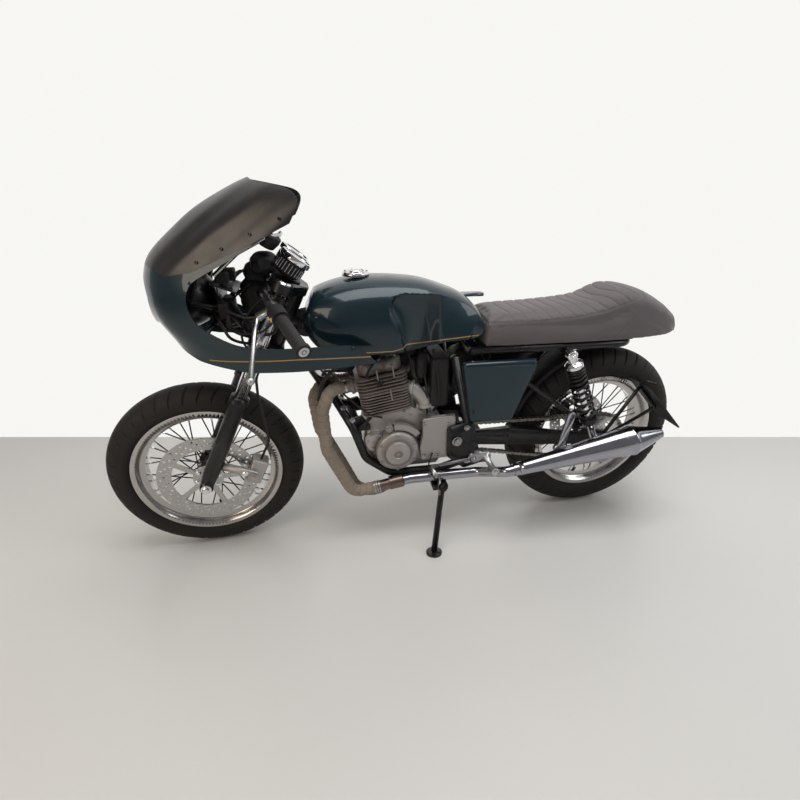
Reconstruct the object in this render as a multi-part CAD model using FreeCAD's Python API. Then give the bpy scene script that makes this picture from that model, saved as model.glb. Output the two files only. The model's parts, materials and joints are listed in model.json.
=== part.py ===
import FreeCAD
import Part
import math
import os
from FreeCAD import Base

# Driving sizes in millimetres and degrees.
# The machine is modelled upright: X runs rearward from the front axle, Y to the rider's right, Z up.
# Then it is leaned on its stand, and the fork is turned a little to the left.
WHEELBASE = 1362.0
RAKE_ANGLE = 26.0
TRAIL = 95.0
LEAN_ANGLE = 9.8
STEER_ANGLE = 4.6
STEER_LOCK_ANGLE = 28.0
STAND_SWING_ANGLE = 96.0

SEAT_GAP = 0.3
OVERRUN = 10.0

# Wheels
FRONT_TYRE_RADIUS = 301.0
REAR_TYRE_RADIUS = 322.0
FRONT_TYRE_WIDTH = 110.0
REAR_TYRE_WIDTH = 130.0
FRONT_RIM_WIDTH = 78.0
REAR_RIM_WIDTH = 90.0
RIM_FLANGE_RADIUS = 228.0
RIM_FLANGE_HEIGHT = 12.0
RIM_WALL = 5.0
RIM_WELL_DEPTH = 20.0
SPOKE_COUNT = 36
SPOKE_RADIUS = 2.0
HUB_BARREL_RADIUS = 24.0
HUB_FLANGE_RADIUS = 40.0
HUB_FLANGE_THICKNESS = 6.0
HUB_FLANGE_SPREAD = 64.0
HUB_HALF_LENGTH = 52.0
AXLE_RADIUS = 9.0
AXLE_CLEARANCE = 0.05
DISC_THICKNESS = 5.0
FRONT_DISC_RADIUS = 150.0
FRONT_DISC_OFFSET = 68.5
REAR_DISC_RADIUS = 110.0
REAR_DISC_OFFSET = 66.0
DISC_BAND = 42.0
DISC_CARRIER_RADIUS = 46.0
DISC_CARRIER_ARM_WIDTH = 16.0
DISC_CARRIER_ARMS = 5
DISC_HOLE_RADIUS = 4.0
DISC_HOLE_ROWS = 3
FRONT_DISC_HOLES = 24
REAR_DISC_HOLES = 18
SPROCKET_RADIUS = 88.0
SPROCKET_OFFSET = 78.0
SPROCKET_THICKNESS = 6.0
SPROCKET_TEETH = 43
SPROCKET_TOOTH_HEIGHT = 7.0
SPROCKET_HOLES = 6
SPROCKET_HOLE_RADIUS = 11.0

# Fork
LEG_SPREAD = 200.0
LEG_RADIUS = 24.0
LEG_LENGTH = 326.0
LEG_FOOT_DROP = 26.0
LEG_FOOT_RADIUS = 17.0
LEG_COLLAR_RADIUS = 27.0
LEG_COLLAR_LENGTH = 26.0
LEG_BOSS_RADIUS = 20.0
STANCHION_RADIUS = 19.0
STANCHION_STAND = 3.0
LOWER_YOKE_HEIGHT = 472.0
HEAD_TUBE_LENGTH = 168.0
YOKE_THICKNESS = 26.0
YOKE_CLAMP_WALL = 9.0
STEM_RADIUS = 14.0
STEM_CLEARANCE = 0.05
HEAD_TUBE_RADIUS = 27.0
HEAD_TUBE_GAP = 1.0
DOWNTUBE_ROOT_RISE = 40.5

# Handlebars, one on each side
BAR_RADIUS = 11.0
BAR_CLAMP_GAP = 10.0
BAR_CLAMP_THICKNESS = 30.0
BAR_CLAMP_WALL = 8.0
BAR_LEAD = 34.0
BAR_SPAN = 226.0
BAR_SWEEP = 78.0
BAR_DROP = 70.0
GRIP_RADIUS = 16.5
GRIP_LENGTH = 128.0
BAR_END_RADIUS = 18.0
BAR_END_LENGTH = 12.0

# Lever and switch on each handlebar
SWITCH_LENGTH = 40.0
SWITCH_RADIUS = 23.0
PERCH_LENGTH = 22.0
PERCH_RADIUS = 17.0
PERCH_REACH = 42.0
LEVER_LENGTH = 165.0
LEVER_RADIUS = 6.5
LEVER_BALL_RADIUS = 9.5
LEVER_REACH = 62.0
LEVER_DROP = 66.0
LEVER_GAP = 4.0
RESERVOIR_RADIUS = 24.0
RESERVOIR_HEIGHT = 34.0

# Instruments
GAUGE_RADIUS = 41.0
GAUGE_DEPTH = 58.0
GAUGE_SPREAD = 96.0
GAUGE_TILT_ANGLE = 38.0
GAUGE_HEIGHT = 40.0
GAUGE_SETBACK = 6.0
GAUGE_PLATE_THICKNESS = 5.0

# Front brake
CALIPER_LENGTH = 86.0
CALIPER_WIDTH = 44.0
CALIPER_HEIGHT = 52.0
CALIPER_SLOT_GAP = 2.0
HOSE_RADIUS = 4.0
HOSE_BEND = 60.0
HOSE_ACROSS = 76.0

# Frame
SPINE_RADIUS = 24.0
DOWNTUBE_RADIUS = 19.0
RAIL_RADIUS = 14.0
CRADLE_HALF_WIDTH = 85.0
CRADLE_FLOOR = 258.0
FORK_POINT_LEAD = 194.4
FORK_POINT_RISE = 163.2
SHOULDER_LEAD = 139.2
SHOULDER_RISE = 86.4
SHIN_LEAD = 103.2
SHIN_DROP = 28.8
TOE_LEAD = 16.8
CRADLE_TAIL_RISE = 30.8
MOUNT_THICKNESS = 8.7
PIVOT_X = 810.0
PIVOT_Z = 384.0
PIVOT_SHAFT_RADIUS = 9.0
PIVOT_PLATE_THICKNESS = 8.0
PIVOT_PLATE_Y = 113.5
PIVOT_PLATE_LENGTH = 126.0
PIVOT_PLATE_HEIGHT = 182.0
UPRIGHT_LEAN = 58.0
UPRIGHT_FOOT_RISE = 54.0
STRUT_FOOT_LEAD = 36.0
STRUT_FOOT_RISE = 58.0
STRUT_TOP_LEAD = 30.0
HANGER_BAR_RADIUS = 8.0
HANGER_Y = 150.0
HANGER_THICKNESS = 8.0
HANGER_LENGTH = 126.0
HANGER_WIDTH = 26.0
HANGER_BOSS_RADIUS = 16.0
HANGER_X = 1168.0
HANGER_Z = 336.0
SEAT_RAIL_RADIUS = 12.0
SEAT_RAIL_HALF_WIDTH = 96.0
SEAT_RAIL_Z = 688.0
SEAT_RAIL_END_X = 1400.0
BEND_RADIUS = 60.0

# Engine, one cylinder leaning forward
CRANK_X = 612.0
CRANK_Z = 356.0
CYLINDER_TILT_ANGLE = 10.0
CASE_LEFT = 66.0
CASE_RIGHT = 68.0
DECK_HEIGHT = 128.0
DECK_LENGTH = 150.0
CASE_LENGTH = 282.0
CASE_HEIGHT = 188.0
CASE_EDGE = 9.0
BALANCER_RADIUS = 37.0
BALANCER_LEAD = 67.0
BALANCER_RISE = 28.0
BALANCER_DEPTH = 24.0
STARTER_X = 704.0
STARTER_Z = 476.0
COVER_EDGE = 10.0
ROCKER_CAP_RADIUS = 21.0
ROCKER_CAP_DEPTH = 7.0
BARREL_HEIGHT = 78.0
BARREL_RADIUS = 56.0
FIN_LENGTH = 164.0
FIN_WIDTH = 156.0
FIN_THICKNESS = 3.0
FIN_CORNER_RADIUS = 26.0
BARREL_FIN_COUNT = 8
HEAD_HEIGHT = 58.0
HEAD_FIN_COUNT = 5
ROCKER_HEIGHT = 46.0
ROCKER_LENGTH = 140.0
ROCKER_WIDTH = 118.0
PORT_SPREAD = 64.0
PORT_RADIUS = 22.0
PORT_REACH = 102.0
AIR_BOX_X = 724.0
AIR_BOX_Z = 496.0
AIR_BOX_LENGTH = 60.0
AIR_BOX_HEIGHT = 168.0
AIR_BOX_HALF_WIDTH = 80.0
GENERATOR_RADIUS = 71.0
GENERATOR_DEPTH = 60.0
CLUTCH_RADIUS = 82.0
CLUTCH_DEPTH = 44.0
CLUTCH_SETBACK = 40.0
STARTER_RADIUS = 27.0
STARTER_LENGTH = 96.0
SPROCKET_COVER_INNER = 90.0
SPROCKET_COVER_OUTER = 108.0
SPROCKET_COVER_LENGTH = 122.0
SPROCKET_COVER_HEIGHT = 162.0
SPROCKET_COVER_NOTCH = 29.4
FRONT_SPROCKET_X = 738.0
FRONT_SPROCKET_Z = 388.0
FRONT_SPROCKET_RADIUS = 33.0
CHAIN_WIDTH = 14.0
CHAIN_HEIGHT = 13.0

# Exhaust
HEADER_RADIUS = 19.0
PIPE_BEND_RADIUS = 42.0
SILENCER_START_RADIUS = 23.0
SILENCER_RADIUS = 52.0
SILENCER_TIP_RADIUS = 19.0
SILENCER_CONE_LENGTH = 398.0
SILENCER_REVERSE_LENGTH = 112.0
SILENCER_X = 1006.0
SILENCER_Y = 196.0
SILENCER_Z = 303.0
SILENCER_RISE_ANGLE = 10.3
SILENCER_WALL = 2.5
SEAM_HEIGHT = 2.5
CLAMP_WIDTH = 18.0
CLAMP_WALL = 3.0
COLLECTOR_LENGTH = 60.0
HEADER_TAIL_RUN = 80.0

# Bodywork
TANK_FRONT_X = 338.0
TANK_HEAD_GAP = 45.0
TANK_LENGTH = 540.0
TANK_HALF_WIDTH = 138.0
TANK_FOOT_RISE = 14.0
TANK_HEIGHT = 206.0
TANK_TUNNEL_RADIUS = 34.0
TANK_BUFFER_RADIUS = 8.0
KNEE_DEPTH = 24.0
KNEE_TAPER = 30.0
CAP_RADIUS = 40.0
CAP_HEIGHT = 14.0
TONGUE_LENGTH = 64.0
TONGUE_WIDTH = 40.0
TONGUE_THICKNESS = 7.0
CAP_SHARE = 0.305
TANK_SEAT_GAP = 6.0
SEAT_LENGTH = 718.0
SEAT_HALF_WIDTH = 114.0
SEAT_HEIGHT = 161.7
SIDE_COVER_DEPTH = 22.0
SIDE_COVER_LENGTH = 248.0
SIDE_COVER_HEIGHT = 210.0
SIDE_COVER_EDGE = 13.0
FAIRING_WALL = 4.0
FAIRING_HALF_WIDTH = 200.0
FAIRING_REACH = 463.0
FAIRING_HEIGHT = 560.0
FAIRING_FOOT = 640.0
HEADLAMP_RADIUS = 74.0
HEADLAMP_DEPTH = 90.0
HEADLAMP_Z = 862.0
FAIRING_STAY_REACH = 190.0
FAIRING_STAY_RISE = 98.0
HEADLAMP_LEAD = 60.0
FAIRING_STAY_HALF = 167.0

# Rear end
SWINGARM_Y = 98.5
SWINGARM_TUBE_WIDTH = 20.0
SWINGARM_TUBE_HEIGHT = 50.0
SWINGARM_KNEE = 190.0
SWINGARM_TAIL = 44.0
SWINGARM_CROSS_LEAD = 92.0
SWINGARM_CROSS_DROP = 12.0
SHOCK_TOP_X = 1158.0
SHOCK_TOP_DROP = 16.0
SHOCK_BOTTOM_X = 1302.0
SHOCK_BOTTOM_Z = 358.0
SHOCK_Y = 136.0
SHOCK_SPRING_RADIUS = 30.0
SHOCK_BODY_RADIUS = 15.0
SHOCK_EYE_RADIUS = 15.0
SHOCK_EYE_WIDTH = 22.0
SHOCK_PIN_RADIUS = 6.0
SPRING_WIRE_RADIUS = 5.0
SPRING_RINGS = 13
PLATE_LENGTH = 230.0
PLATE_WIDTH = 122.0
PLATE_THICKNESS = 3.0
PLATE_SLOPE_ANGLE = 45.0
PLATE_LEAD = 140.0
PLATE_RISE = 160.0
PLATE_STAY_LEAD = 20.0
PLATE_STAY_RISE = 12.0
PEG_RADIUS = 10.0
PEG_LENGTH = 92.0
FOOTREST_LEAD = 62.0
FOOTREST_DROP = 72.0
FOOTREST_REACH = 44.0
FOOTREST_HALF = 18.0
PEDAL_LENGTH = 150.0
PEDAL_SPREAD = 18.0
PEDAL_DROP = 6.0
HORN_RADIUS = 36.0
HORN_DEPTH = 24.0
HORN_LEAD = 214.0
HORN_RISE = 284.0

# Side stand
STAND_PIVOT_X = 757.0
STAND_PIVOT_Y = 158.0
STAND_PIVOT_Z = 230.0
STAND_AXIS_ANGLE = 30.0
STAND_LEG_RADIUS = 10.0
STAND_KNUCKLE_RADIUS = 15.0
STAND_KNUCKLE_HALF = 11.0
STAND_BRACKET_WIDTH = 52.0
STAND_ARM_THICKNESS = 16.0
STAND_FOOT_X = 710.0
STAND_FOOT_SPAN = 272.0
STAND_FOOT_RADIUS = 26.0
STAND_FOOT_THICKNESS = 7.0

SEAT_BOTTOM = SEAT_RAIL_Z + SEAT_RAIL_RADIUS + SEAT_GAP
SEAT_FRONT_X = TANK_FRONT_X + TANK_LENGTH + TANK_SEAT_GAP
TANK_BOTTOM = SEAT_RAIL_Z + TANK_FOOT_RISE
SHOCK_TOP_Z = SEAT_RAIL_Z - SHOCK_TOP_DROP
SIDE_COVER_Y = PIVOT_PLATE_Y + PIVOT_PLATE_THICKNESS / 2 + SEAT_GAP
UPPER_YOKE_HEIGHT = LOWER_YOKE_HEIGHT + YOKE_THICKNESS + HEAD_TUBE_GAP * 2 + HEAD_TUBE_LENGTH
STANCHION_TOP = UPPER_YOKE_HEIGHT + YOKE_THICKNESS / 2 + STANCHION_STAND
BAR_CLAMP_HEIGHT = UPPER_YOKE_HEIGHT - YOKE_THICKNESS / 2 - BAR_CLAMP_GAP - BAR_CLAMP_THICKNESS / 2

# The longest share of a run that one rounded corner may use up
CORNER_SHARE = 0.48
FULL_TURN = 360.0

RAKE = math.radians(RAKE_ANGLE)
UP_FORK = Base.Vector(math.sin(RAKE), 0, math.cos(RAKE))
BEHIND_FORK = Base.Vector(math.cos(RAKE), 0, -math.sin(RAKE))
ACROSS = Base.Vector(0, 1, 0)
UP = Base.Vector(0, 0, 1)
FRONT_AXLE = Base.Vector(0, 0, FRONT_TYRE_RADIUS)
REAR_AXLE = Base.Vector(WHEELBASE, 0, REAR_TYRE_RADIUS)
FORK_OFFSET = FRONT_TYRE_RADIUS * math.sin(RAKE) - TRAIL * math.cos(RAKE)
ORIGIN = Base.Vector(0, 0, 0)


def vec(x, y, z):
    return Base.Vector(x, y, z)


def on_fork(height, across, behind):
    """A point measured from the front axle: up the fork, to the right and behind the legs."""
    return FRONT_AXLE + UP_FORK * height + ACROSS * across + BEHIND_FORK * behind


def rod(start, end, radius):
    """A straight round bar from one point to another."""
    return Part.makeCylinder(radius, (end - start).Length, start, end - start)


def cone(start, end, first_radius, last_radius):
    """A straight round taper from one point to another."""
    return Part.makeCone(first_radius, last_radius, (end - start).Length, start, end - start)


def fused(shapes):
    """One solid from shapes that overlap or touch."""
    first = shapes[0]
    if len(shapes) == 1:
        return first
    return first.multiFuse(shapes[1:]).removeSplitter()


def mirrored(shape):
    """The same shape on the other side of the machine."""
    return shape.mirror(ORIGIN, ACROSS)


def both_sides(shape):
    """A left and a right piece, as two solids."""
    return Part.makeCompound([shape, mirrored(shape)])


def rounded_path(points, radius, closed):
    """Straight runs through points, joined by tangent arcs."""
    corners = []
    for index, point in enumerate(points):
        if not closed and index in (0, len(points) - 1):
            corners.append((point, None, point))
            continue
        before = points[index - 1] - point
        after = points[(index + 1) % len(points)] - point
        half = before.getAngle(after) / 2
        reach = min(radius / math.tan(half), CORNER_SHARE * min(before.Length, after.Length))
        bend = reach * math.tan(half)
        inward = (before.normalize() + after.normalize()).normalize()
        centre = point + inward * (bend / math.sin(half))
        corners.append((point + before * reach, centre - inward * bend, point + after * reach))
    edges = []
    for index, corner in enumerate(corners):
        if corner[1] is not None:
            edges.append(Part.Arc(corner[0], corner[1], corner[2]).toShape())
        if closed or index < len(corners) - 1:
            following = corners[(index + 1) % len(corners)][0]
            edges.append(Part.LineSegment(corner[2], following).toShape())
    return Part.Wire(edges)


def bent_bar(points, radius, bend):
    """A round bar bent along points."""
    path = rounded_path(points, bend, False)
    ring = Part.Wire(Part.makeCircle(radius, points[0], points[1] - points[0]))
    return path.makePipeShell([ring], True, False)


def side_plate(outline, near, far, corner):
    """A plate with an outline of (x, z) points, from one distance across to another."""
    points = [vec(x, near, z) for x, z in outline]
    face = Part.Face(rounded_path(points, corner, True))
    return face.extrude(vec(0, far - near, 0))


def turned(profile, start, axis):
    """A solid turned about an axis, from (radius, distance) points."""
    points = [vec(radius, 0, distance) for radius, distance in profile]
    face = Part.Face(Part.makePolygon(points + [points[0]]))
    solid = face.revolve(ORIGIN, UP, FULL_TURN)
    solid.Placement = Base.Placement(start, Base.Rotation(UP, axis))
    return solid


def outline_at(x, z, width, height, table):
    """An outline in real sizes about a place, from pairs of shares."""
    return [(x + width * across, z + height * up) for across, up in table]


def edges_at(shape, across):
    """The edges of a shape that lie in one plane across the machine."""
    found = []
    for edge in shape.Edges:
        box = edge.BoundBox
        if abs(box.YMin - across) < SEAT_GAP / 3 and abs(box.YMax - across) < SEAT_GAP / 3:
            found.append(edge)
    return found


def smooth_section(points, base):
    """A closed section: a smooth curve through points, closed by a straight line where base is true."""
    curve = Part.BSplineCurve()
    curve.interpolate(points)
    edges = [curve.toShape()]
    if base:
        edges.append(Part.LineSegment(points[-1], points[0]).toShape())
    return Part.Wire(edges)


# Wheels, built about the axle at the origin

# Rim section from the flange to the well: (share of half width, share of flange height)
RIM_SEAT_SHARE = 0.5
RIM_WELL_SHARE = 0.36
SIDEWALL_BULGE_SHARE = 0.87
SIDEWALL_RISE_SHARE = 0.3
RIM_SEAT_RADIUS = RIM_FLANGE_RADIUS - RIM_FLANGE_HEIGHT
RIM_INNER_RADIUS = RIM_SEAT_RADIUS - RIM_WELL_DEPTH - RIM_WALL
SPOKE_CROSS_ANGLE = 62.0
SPOKE_FLANGE_SHARE = 0.86
SPOKE_RIM_SHARE = 0.16
# One sprocket tooth: (share of its pitch, share of its height)
TOOTH_SHARES = ((0.0, 0.0), (0.3, 0.0), (0.5, 1.0), (0.8, 1.0))


def spun(section):
    """A wheel part from a section of (across, radius) points."""
    points = [vec(0, across, radius) for across, radius in section]
    face = Part.Face(Part.makePolygon(points + [points[0]]))
    return face.revolve(ORIGIN, ACROSS, FULL_TURN)


def tyre(radius, width, rim_width):
    """A tyre with a round crown, short sidewalls and beads on the rim's seats."""
    crown = width / 2
    bead = rim_width / 2 - SEAT_GAP
    shoulder = radius - crown
    foot = RIM_SEAT_RADIUS + SEAT_GAP
    lip = RIM_FLANGE_RADIUS + SEAT_GAP
    bulge = bead + (crown - bead) * SIDEWALL_BULGE_SHARE
    rise = lip + (shoulder - lip) * SIDEWALL_RISE_SHARE
    left_wall = Part.Arc(vec(0, -bead, lip), vec(0, -bulge, rise), vec(0, -crown, shoulder))
    tread = Part.Arc(vec(0, -crown, shoulder), vec(0, 0, radius), vec(0, crown, shoulder))
    right_wall = Part.Arc(vec(0, crown, shoulder), vec(0, bulge, rise), vec(0, bead, lip))
    beads = Part.makePolygon([vec(0, bead, lip), vec(0, bead, foot), vec(0, -bead, foot), vec(0, -bead, lip)])
    section = Part.Wire([left_wall.toShape(), tread.toShape(), right_wall.toShape()] + beads.Edges)
    return Part.Face(section).revolve(ORIGIN, ACROSS, FULL_TURN)


def rim(rim_width):
    """A drop-centre rim of even wall."""
    half = rim_width / 2
    outer = half + RIM_WALL
    seat_edge = half * RIM_SEAT_SHARE
    well_edge = half * RIM_WELL_SHARE
    well = RIM_SEAT_RADIUS - RIM_WELL_DEPTH
    left = [(-outer, RIM_FLANGE_RADIUS), (-half, RIM_FLANGE_RADIUS), (-half, RIM_SEAT_RADIUS),
            (-seat_edge, RIM_SEAT_RADIUS), (-well_edge, well)]
    right = [(-across, height) for across, height in reversed(left)]
    under = [(outer, RIM_SEAT_RADIUS - RIM_WALL), (seat_edge + RIM_WALL, RIM_SEAT_RADIUS - RIM_WALL),
             (well_edge + RIM_WALL, RIM_INNER_RADIUS)]
    under_left = [(-across, height) for across, height in reversed(under)]
    return spun(left + right + under + under_left)


def polar(radius, angle, across):
    """A point on a wheel."""
    return vec(radius * math.cos(angle), across, radius * math.sin(angle))


def hub(left_end, right_end):
    """A hub with two spoke flanges, its spokes and a bore for the axle."""
    bore = AXLE_RADIUS + AXLE_CLEARANCE
    outer_face = HUB_FLANGE_SPREAD / 2 + HUB_FLANGE_THICKNESS / 2
    inner_face = outer_face - HUB_FLANGE_THICKNESS
    body = spun([(-left_end, bore), (-left_end, HUB_FLANGE_RADIUS), (-inner_face, HUB_FLANGE_RADIUS),
                 (-inner_face, HUB_BARREL_RADIUS), (inner_face, HUB_BARREL_RADIUS),
                 (inner_face, HUB_FLANGE_RADIUS), (right_end, HUB_FLANGE_RADIUS), (right_end, bore)])
    spokes = []
    pitch = 2 * math.pi / SPOKE_COUNT
    cross = math.radians(SPOKE_CROSS_ANGLE)
    for index in range(SPOKE_COUNT):
        side = 1 if index % 2 else -1
        lead = 1 if (index // 2) % 2 else -1
        angle = index * pitch
        outer = polar(RIM_INNER_RADIUS - SPOKE_RADIUS / 2, angle, side * outer_face * SPOKE_RIM_SHARE)
        inner = polar(HUB_FLANGE_RADIUS * SPOKE_FLANGE_SHARE, angle + lead * cross,
                      side * (inner_face + outer_face) / 2)
        spokes.append(rod(inner, outer, SPOKE_RADIUS))
    return fused([body] + spokes)


def disc(radius, across, hole_count):
    """A drilled brake disc on a star carrier, bolted to the hub's end."""
    half = DISC_THICKNESS / 2
    band_inner = radius - DISC_BAND
    band = spun([(-half, band_inner), (-half, radius), (half, radius), (half, band_inner)])
    row_pitch = DISC_BAND / (DISC_HOLE_ROWS + 1)
    holes = []
    for row in range(DISC_HOLE_ROWS):
        for index in range(hole_count):
            angle = 2 * math.pi * (index + row / DISC_HOLE_ROWS) / hole_count
            place = polar(band_inner + row_pitch * (row + 1), angle, -DISC_THICKNESS)
            holes.append(rod(place, place + ACROSS * DISC_THICKNESS * 2, DISC_HOLE_RADIUS))
    band = band.cut(holes)
    centre = spun([(-half, AXLE_RADIUS + DISC_THICKNESS), (-half, DISC_CARRIER_RADIUS),
                   (half, DISC_CARRIER_RADIUS), (half, AXLE_RADIUS + DISC_THICKNESS)])
    arms = []
    for index in range(DISC_CARRIER_ARMS):
        arm = Part.makeBox(band_inner - DISC_CARRIER_RADIUS + row_pitch / 2 + DISC_BAND / 4, DISC_THICKNESS,
                           DISC_CARRIER_ARM_WIDTH, vec(DISC_CARRIER_RADIUS - DISC_BAND / 4, -half,
                                                       -DISC_CARRIER_ARM_WIDTH / 2))
        arm.rotate(ORIGIN, ACROSS, index * FULL_TURN / DISC_CARRIER_ARMS)
        arms.append(arm)
    whole = fused([band, centre] + arms)
    whole.translate(vec(0, across, 0))
    return whole


def sprocket(radius, across):
    """The toothed and lightened rear sprocket, seated on the hub's left end."""
    half = SPROCKET_THICKNESS / 2
    inner = AXLE_RADIUS + DISC_THICKNESS
    root = radius - SPROCKET_TOOTH_HEIGHT
    pitch = 2 * math.pi / SPROCKET_TEETH
    points = []
    for index in range(SPROCKET_TEETH):
        for share, reach in TOOTH_SHARES:
            points.append(polar(root + SPROCKET_TOOTH_HEIGHT * reach, (index + share) * pitch, -half))
    whole = Part.Face(Part.makePolygon(points + [points[0]])).extrude(ACROSS * SPROCKET_THICKNESS)
    cuts = [rod(vec(0, -radius, 0), vec(0, radius, 0), inner)]
    for index in range(SPROCKET_HOLES):
        place = polar((HUB_FLANGE_RADIUS + root) / 2, 2 * math.pi * index / SPROCKET_HOLES, -radius)
        cuts.append(rod(place, place + ACROSS * radius * 2, SPROCKET_HOLE_RADIUS))
    whole = whole.cut(cuts)
    whole.translate(vec(0, across, 0))
    return whole


def placed(shape, point):
    """A copy of a shape moved from the origin to a point."""
    moved = shape.copy()
    moved.translate(point)
    return moved


def front_wheel():
    disc_face = FRONT_DISC_OFFSET - DISC_THICKNESS / 2
    return {
        "front_tyre": placed(tyre(FRONT_TYRE_RADIUS, FRONT_TYRE_WIDTH, FRONT_RIM_WIDTH), FRONT_AXLE),
        "front_rim": placed(rim(FRONT_RIM_WIDTH), FRONT_AXLE),
        "front_hub": placed(hub(disc_face, HUB_HALF_LENGTH), FRONT_AXLE),
        "front_disc": placed(disc(FRONT_DISC_RADIUS, -FRONT_DISC_OFFSET, FRONT_DISC_HOLES), FRONT_AXLE),
    }


def rear_wheel():
    disc_face = REAR_DISC_OFFSET - DISC_THICKNESS / 2
    sprocket_face = SPROCKET_OFFSET - SPROCKET_THICKNESS / 2
    return {
        "rear_tyre": placed(tyre(REAR_TYRE_RADIUS, REAR_TYRE_WIDTH, REAR_RIM_WIDTH), REAR_AXLE),
        "rear_rim": placed(rim(REAR_RIM_WIDTH), REAR_AXLE),
        "rear_hub": placed(hub(sprocket_face, disc_face), REAR_AXLE),
        "rear_disc": placed(disc(REAR_DISC_RADIUS, REAR_DISC_OFFSET, REAR_DISC_HOLES), REAR_AXLE),
        "rear_sprocket": placed(sprocket(SPROCKET_RADIUS, -SPROCKET_OFFSET), REAR_AXLE),
    }


# Fork, built straight ahead

LEG_Y = LEG_SPREAD / 2


def fork_lowers():
    """Two tapered lower legs with seal collars, joined by the front axle and its spacers."""
    foot = -LEG_FOOT_DROP
    length = LEG_LENGTH + LEG_FOOT_DROP
    collar = length - LEG_COLLAR_LENGTH
    profile = [(0, 0), (LEG_FOOT_RADIUS, 0), (LEG_RADIUS, LEG_FOOT_DROP + LEG_RADIUS * 2), (LEG_RADIUS, collar),
               (LEG_COLLAR_RADIUS, collar), (LEG_COLLAR_RADIUS, length), (0, length)]
    parts = []
    for side in (-1, 1):
        across = side * LEG_Y
        parts.append(turned(profile, on_fork(foot, across, 0), UP_FORK))
        parts.append(rod(FRONT_AXLE + ACROSS * (across - side * LEG_RADIUS),
                         FRONT_AXLE + ACROSS * (across + side * LEG_RADIUS), LEG_BOSS_RADIUS))
    reach = LEG_Y + LEG_RADIUS + HUB_FLANGE_THICKNESS
    parts.append(rod(FRONT_AXLE - ACROSS * reach, FRONT_AXLE + ACROSS * reach, AXLE_RADIUS))
    spacer = AXLE_RADIUS + RIM_WALL
    left_end = FRONT_DISC_OFFSET + DISC_THICKNESS / 2 + SEAT_GAP
    right_end = HUB_HALF_LENGTH + SEAT_GAP
    parts.append(rod(FRONT_AXLE - ACROSS * LEG_Y, FRONT_AXLE - ACROSS * left_end, spacer))
    parts.append(rod(FRONT_AXLE + ACROSS * LEG_Y, FRONT_AXLE + ACROSS * right_end, spacer))
    return fused(parts)


def stanchions():
    """Chrome tubes from the lowers' tops to the upper yoke, cut where the yokes clamp them."""
    tubes = []
    for side in (-1, 1):
        across = side * LEG_Y
        tubes.append(rod(on_fork(LEG_LENGTH, across, 0), on_fork(STANCHION_TOP, across, 0), STANCHION_RADIUS))
    return Part.makeCompound(tubes)


def yoke(height):
    """A yoke: two clamp rings joined by a web about the steering stem."""
    half = YOKE_THICKNESS / 2
    ring = STANCHION_RADIUS + YOKE_CLAMP_WALL
    outline = [(-LEG_Y, -ring), (LEG_Y, -ring), (LEG_Y, ring), (STEM_RADIUS * 2, FORK_OFFSET + STEM_RADIUS * 2),
               (-STEM_RADIUS * 2, FORK_OFFSET + STEM_RADIUS * 2), (-LEG_Y, ring)]
    points = [on_fork(height - half, across, behind) for across, behind in outline]
    web = Part.Face(rounded_path(points, STEM_RADIUS, True)).extrude(UP_FORK * YOKE_THICKNESS)
    parts = [web]
    for side in (-1, 1):
        across = side * LEG_Y
        parts.append(rod(on_fork(height - half, across, 0), on_fork(height + half, across, 0), ring))
    body = fused(parts)
    for side in (-1, 1):
        bore = rod(on_fork(height - YOKE_THICKNESS, side * LEG_Y, 0),
                   on_fork(height + YOKE_THICKNESS, side * LEG_Y, 0), STANCHION_RADIUS)
        body = body.cut(bore)
    return body


def yokes():
    """Both yokes on the steering stem."""
    stem_foot = on_fork(LOWER_YOKE_HEIGHT, 0, FORK_OFFSET)
    stem = rod(stem_foot, on_fork(UPPER_YOKE_HEIGHT, 0, FORK_OFFSET), STEM_RADIUS)
    return fused([yoke(LOWER_YOKE_HEIGHT), yoke(UPPER_YOKE_HEIGHT), stem])


def bar_point(along):
    """A point on the left handlebar, at a share of its span."""
    root = on_fork(BAR_CLAMP_HEIGHT, -LEG_Y, -BAR_LEAD)
    return root + vec(BAR_SWEEP * along, -BAR_SPAN * along, -BAR_DROP * along)


BAR_LENGTH = (bar_point(1) - bar_point(0)).Length
BAR_DIRECTION = (bar_point(1) - bar_point(0)).normalize()


def bar_at(distance):
    """A point on the left handlebar, measured from its root."""
    return bar_point(0) + BAR_DIRECTION * distance


GRIP_START = BAR_LENGTH - GRIP_LENGTH
SWITCH_START = GRIP_START - SEAT_GAP - SWITCH_LENGTH
PERCH_START = SWITCH_START - LEVER_GAP - PERCH_LENGTH


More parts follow.
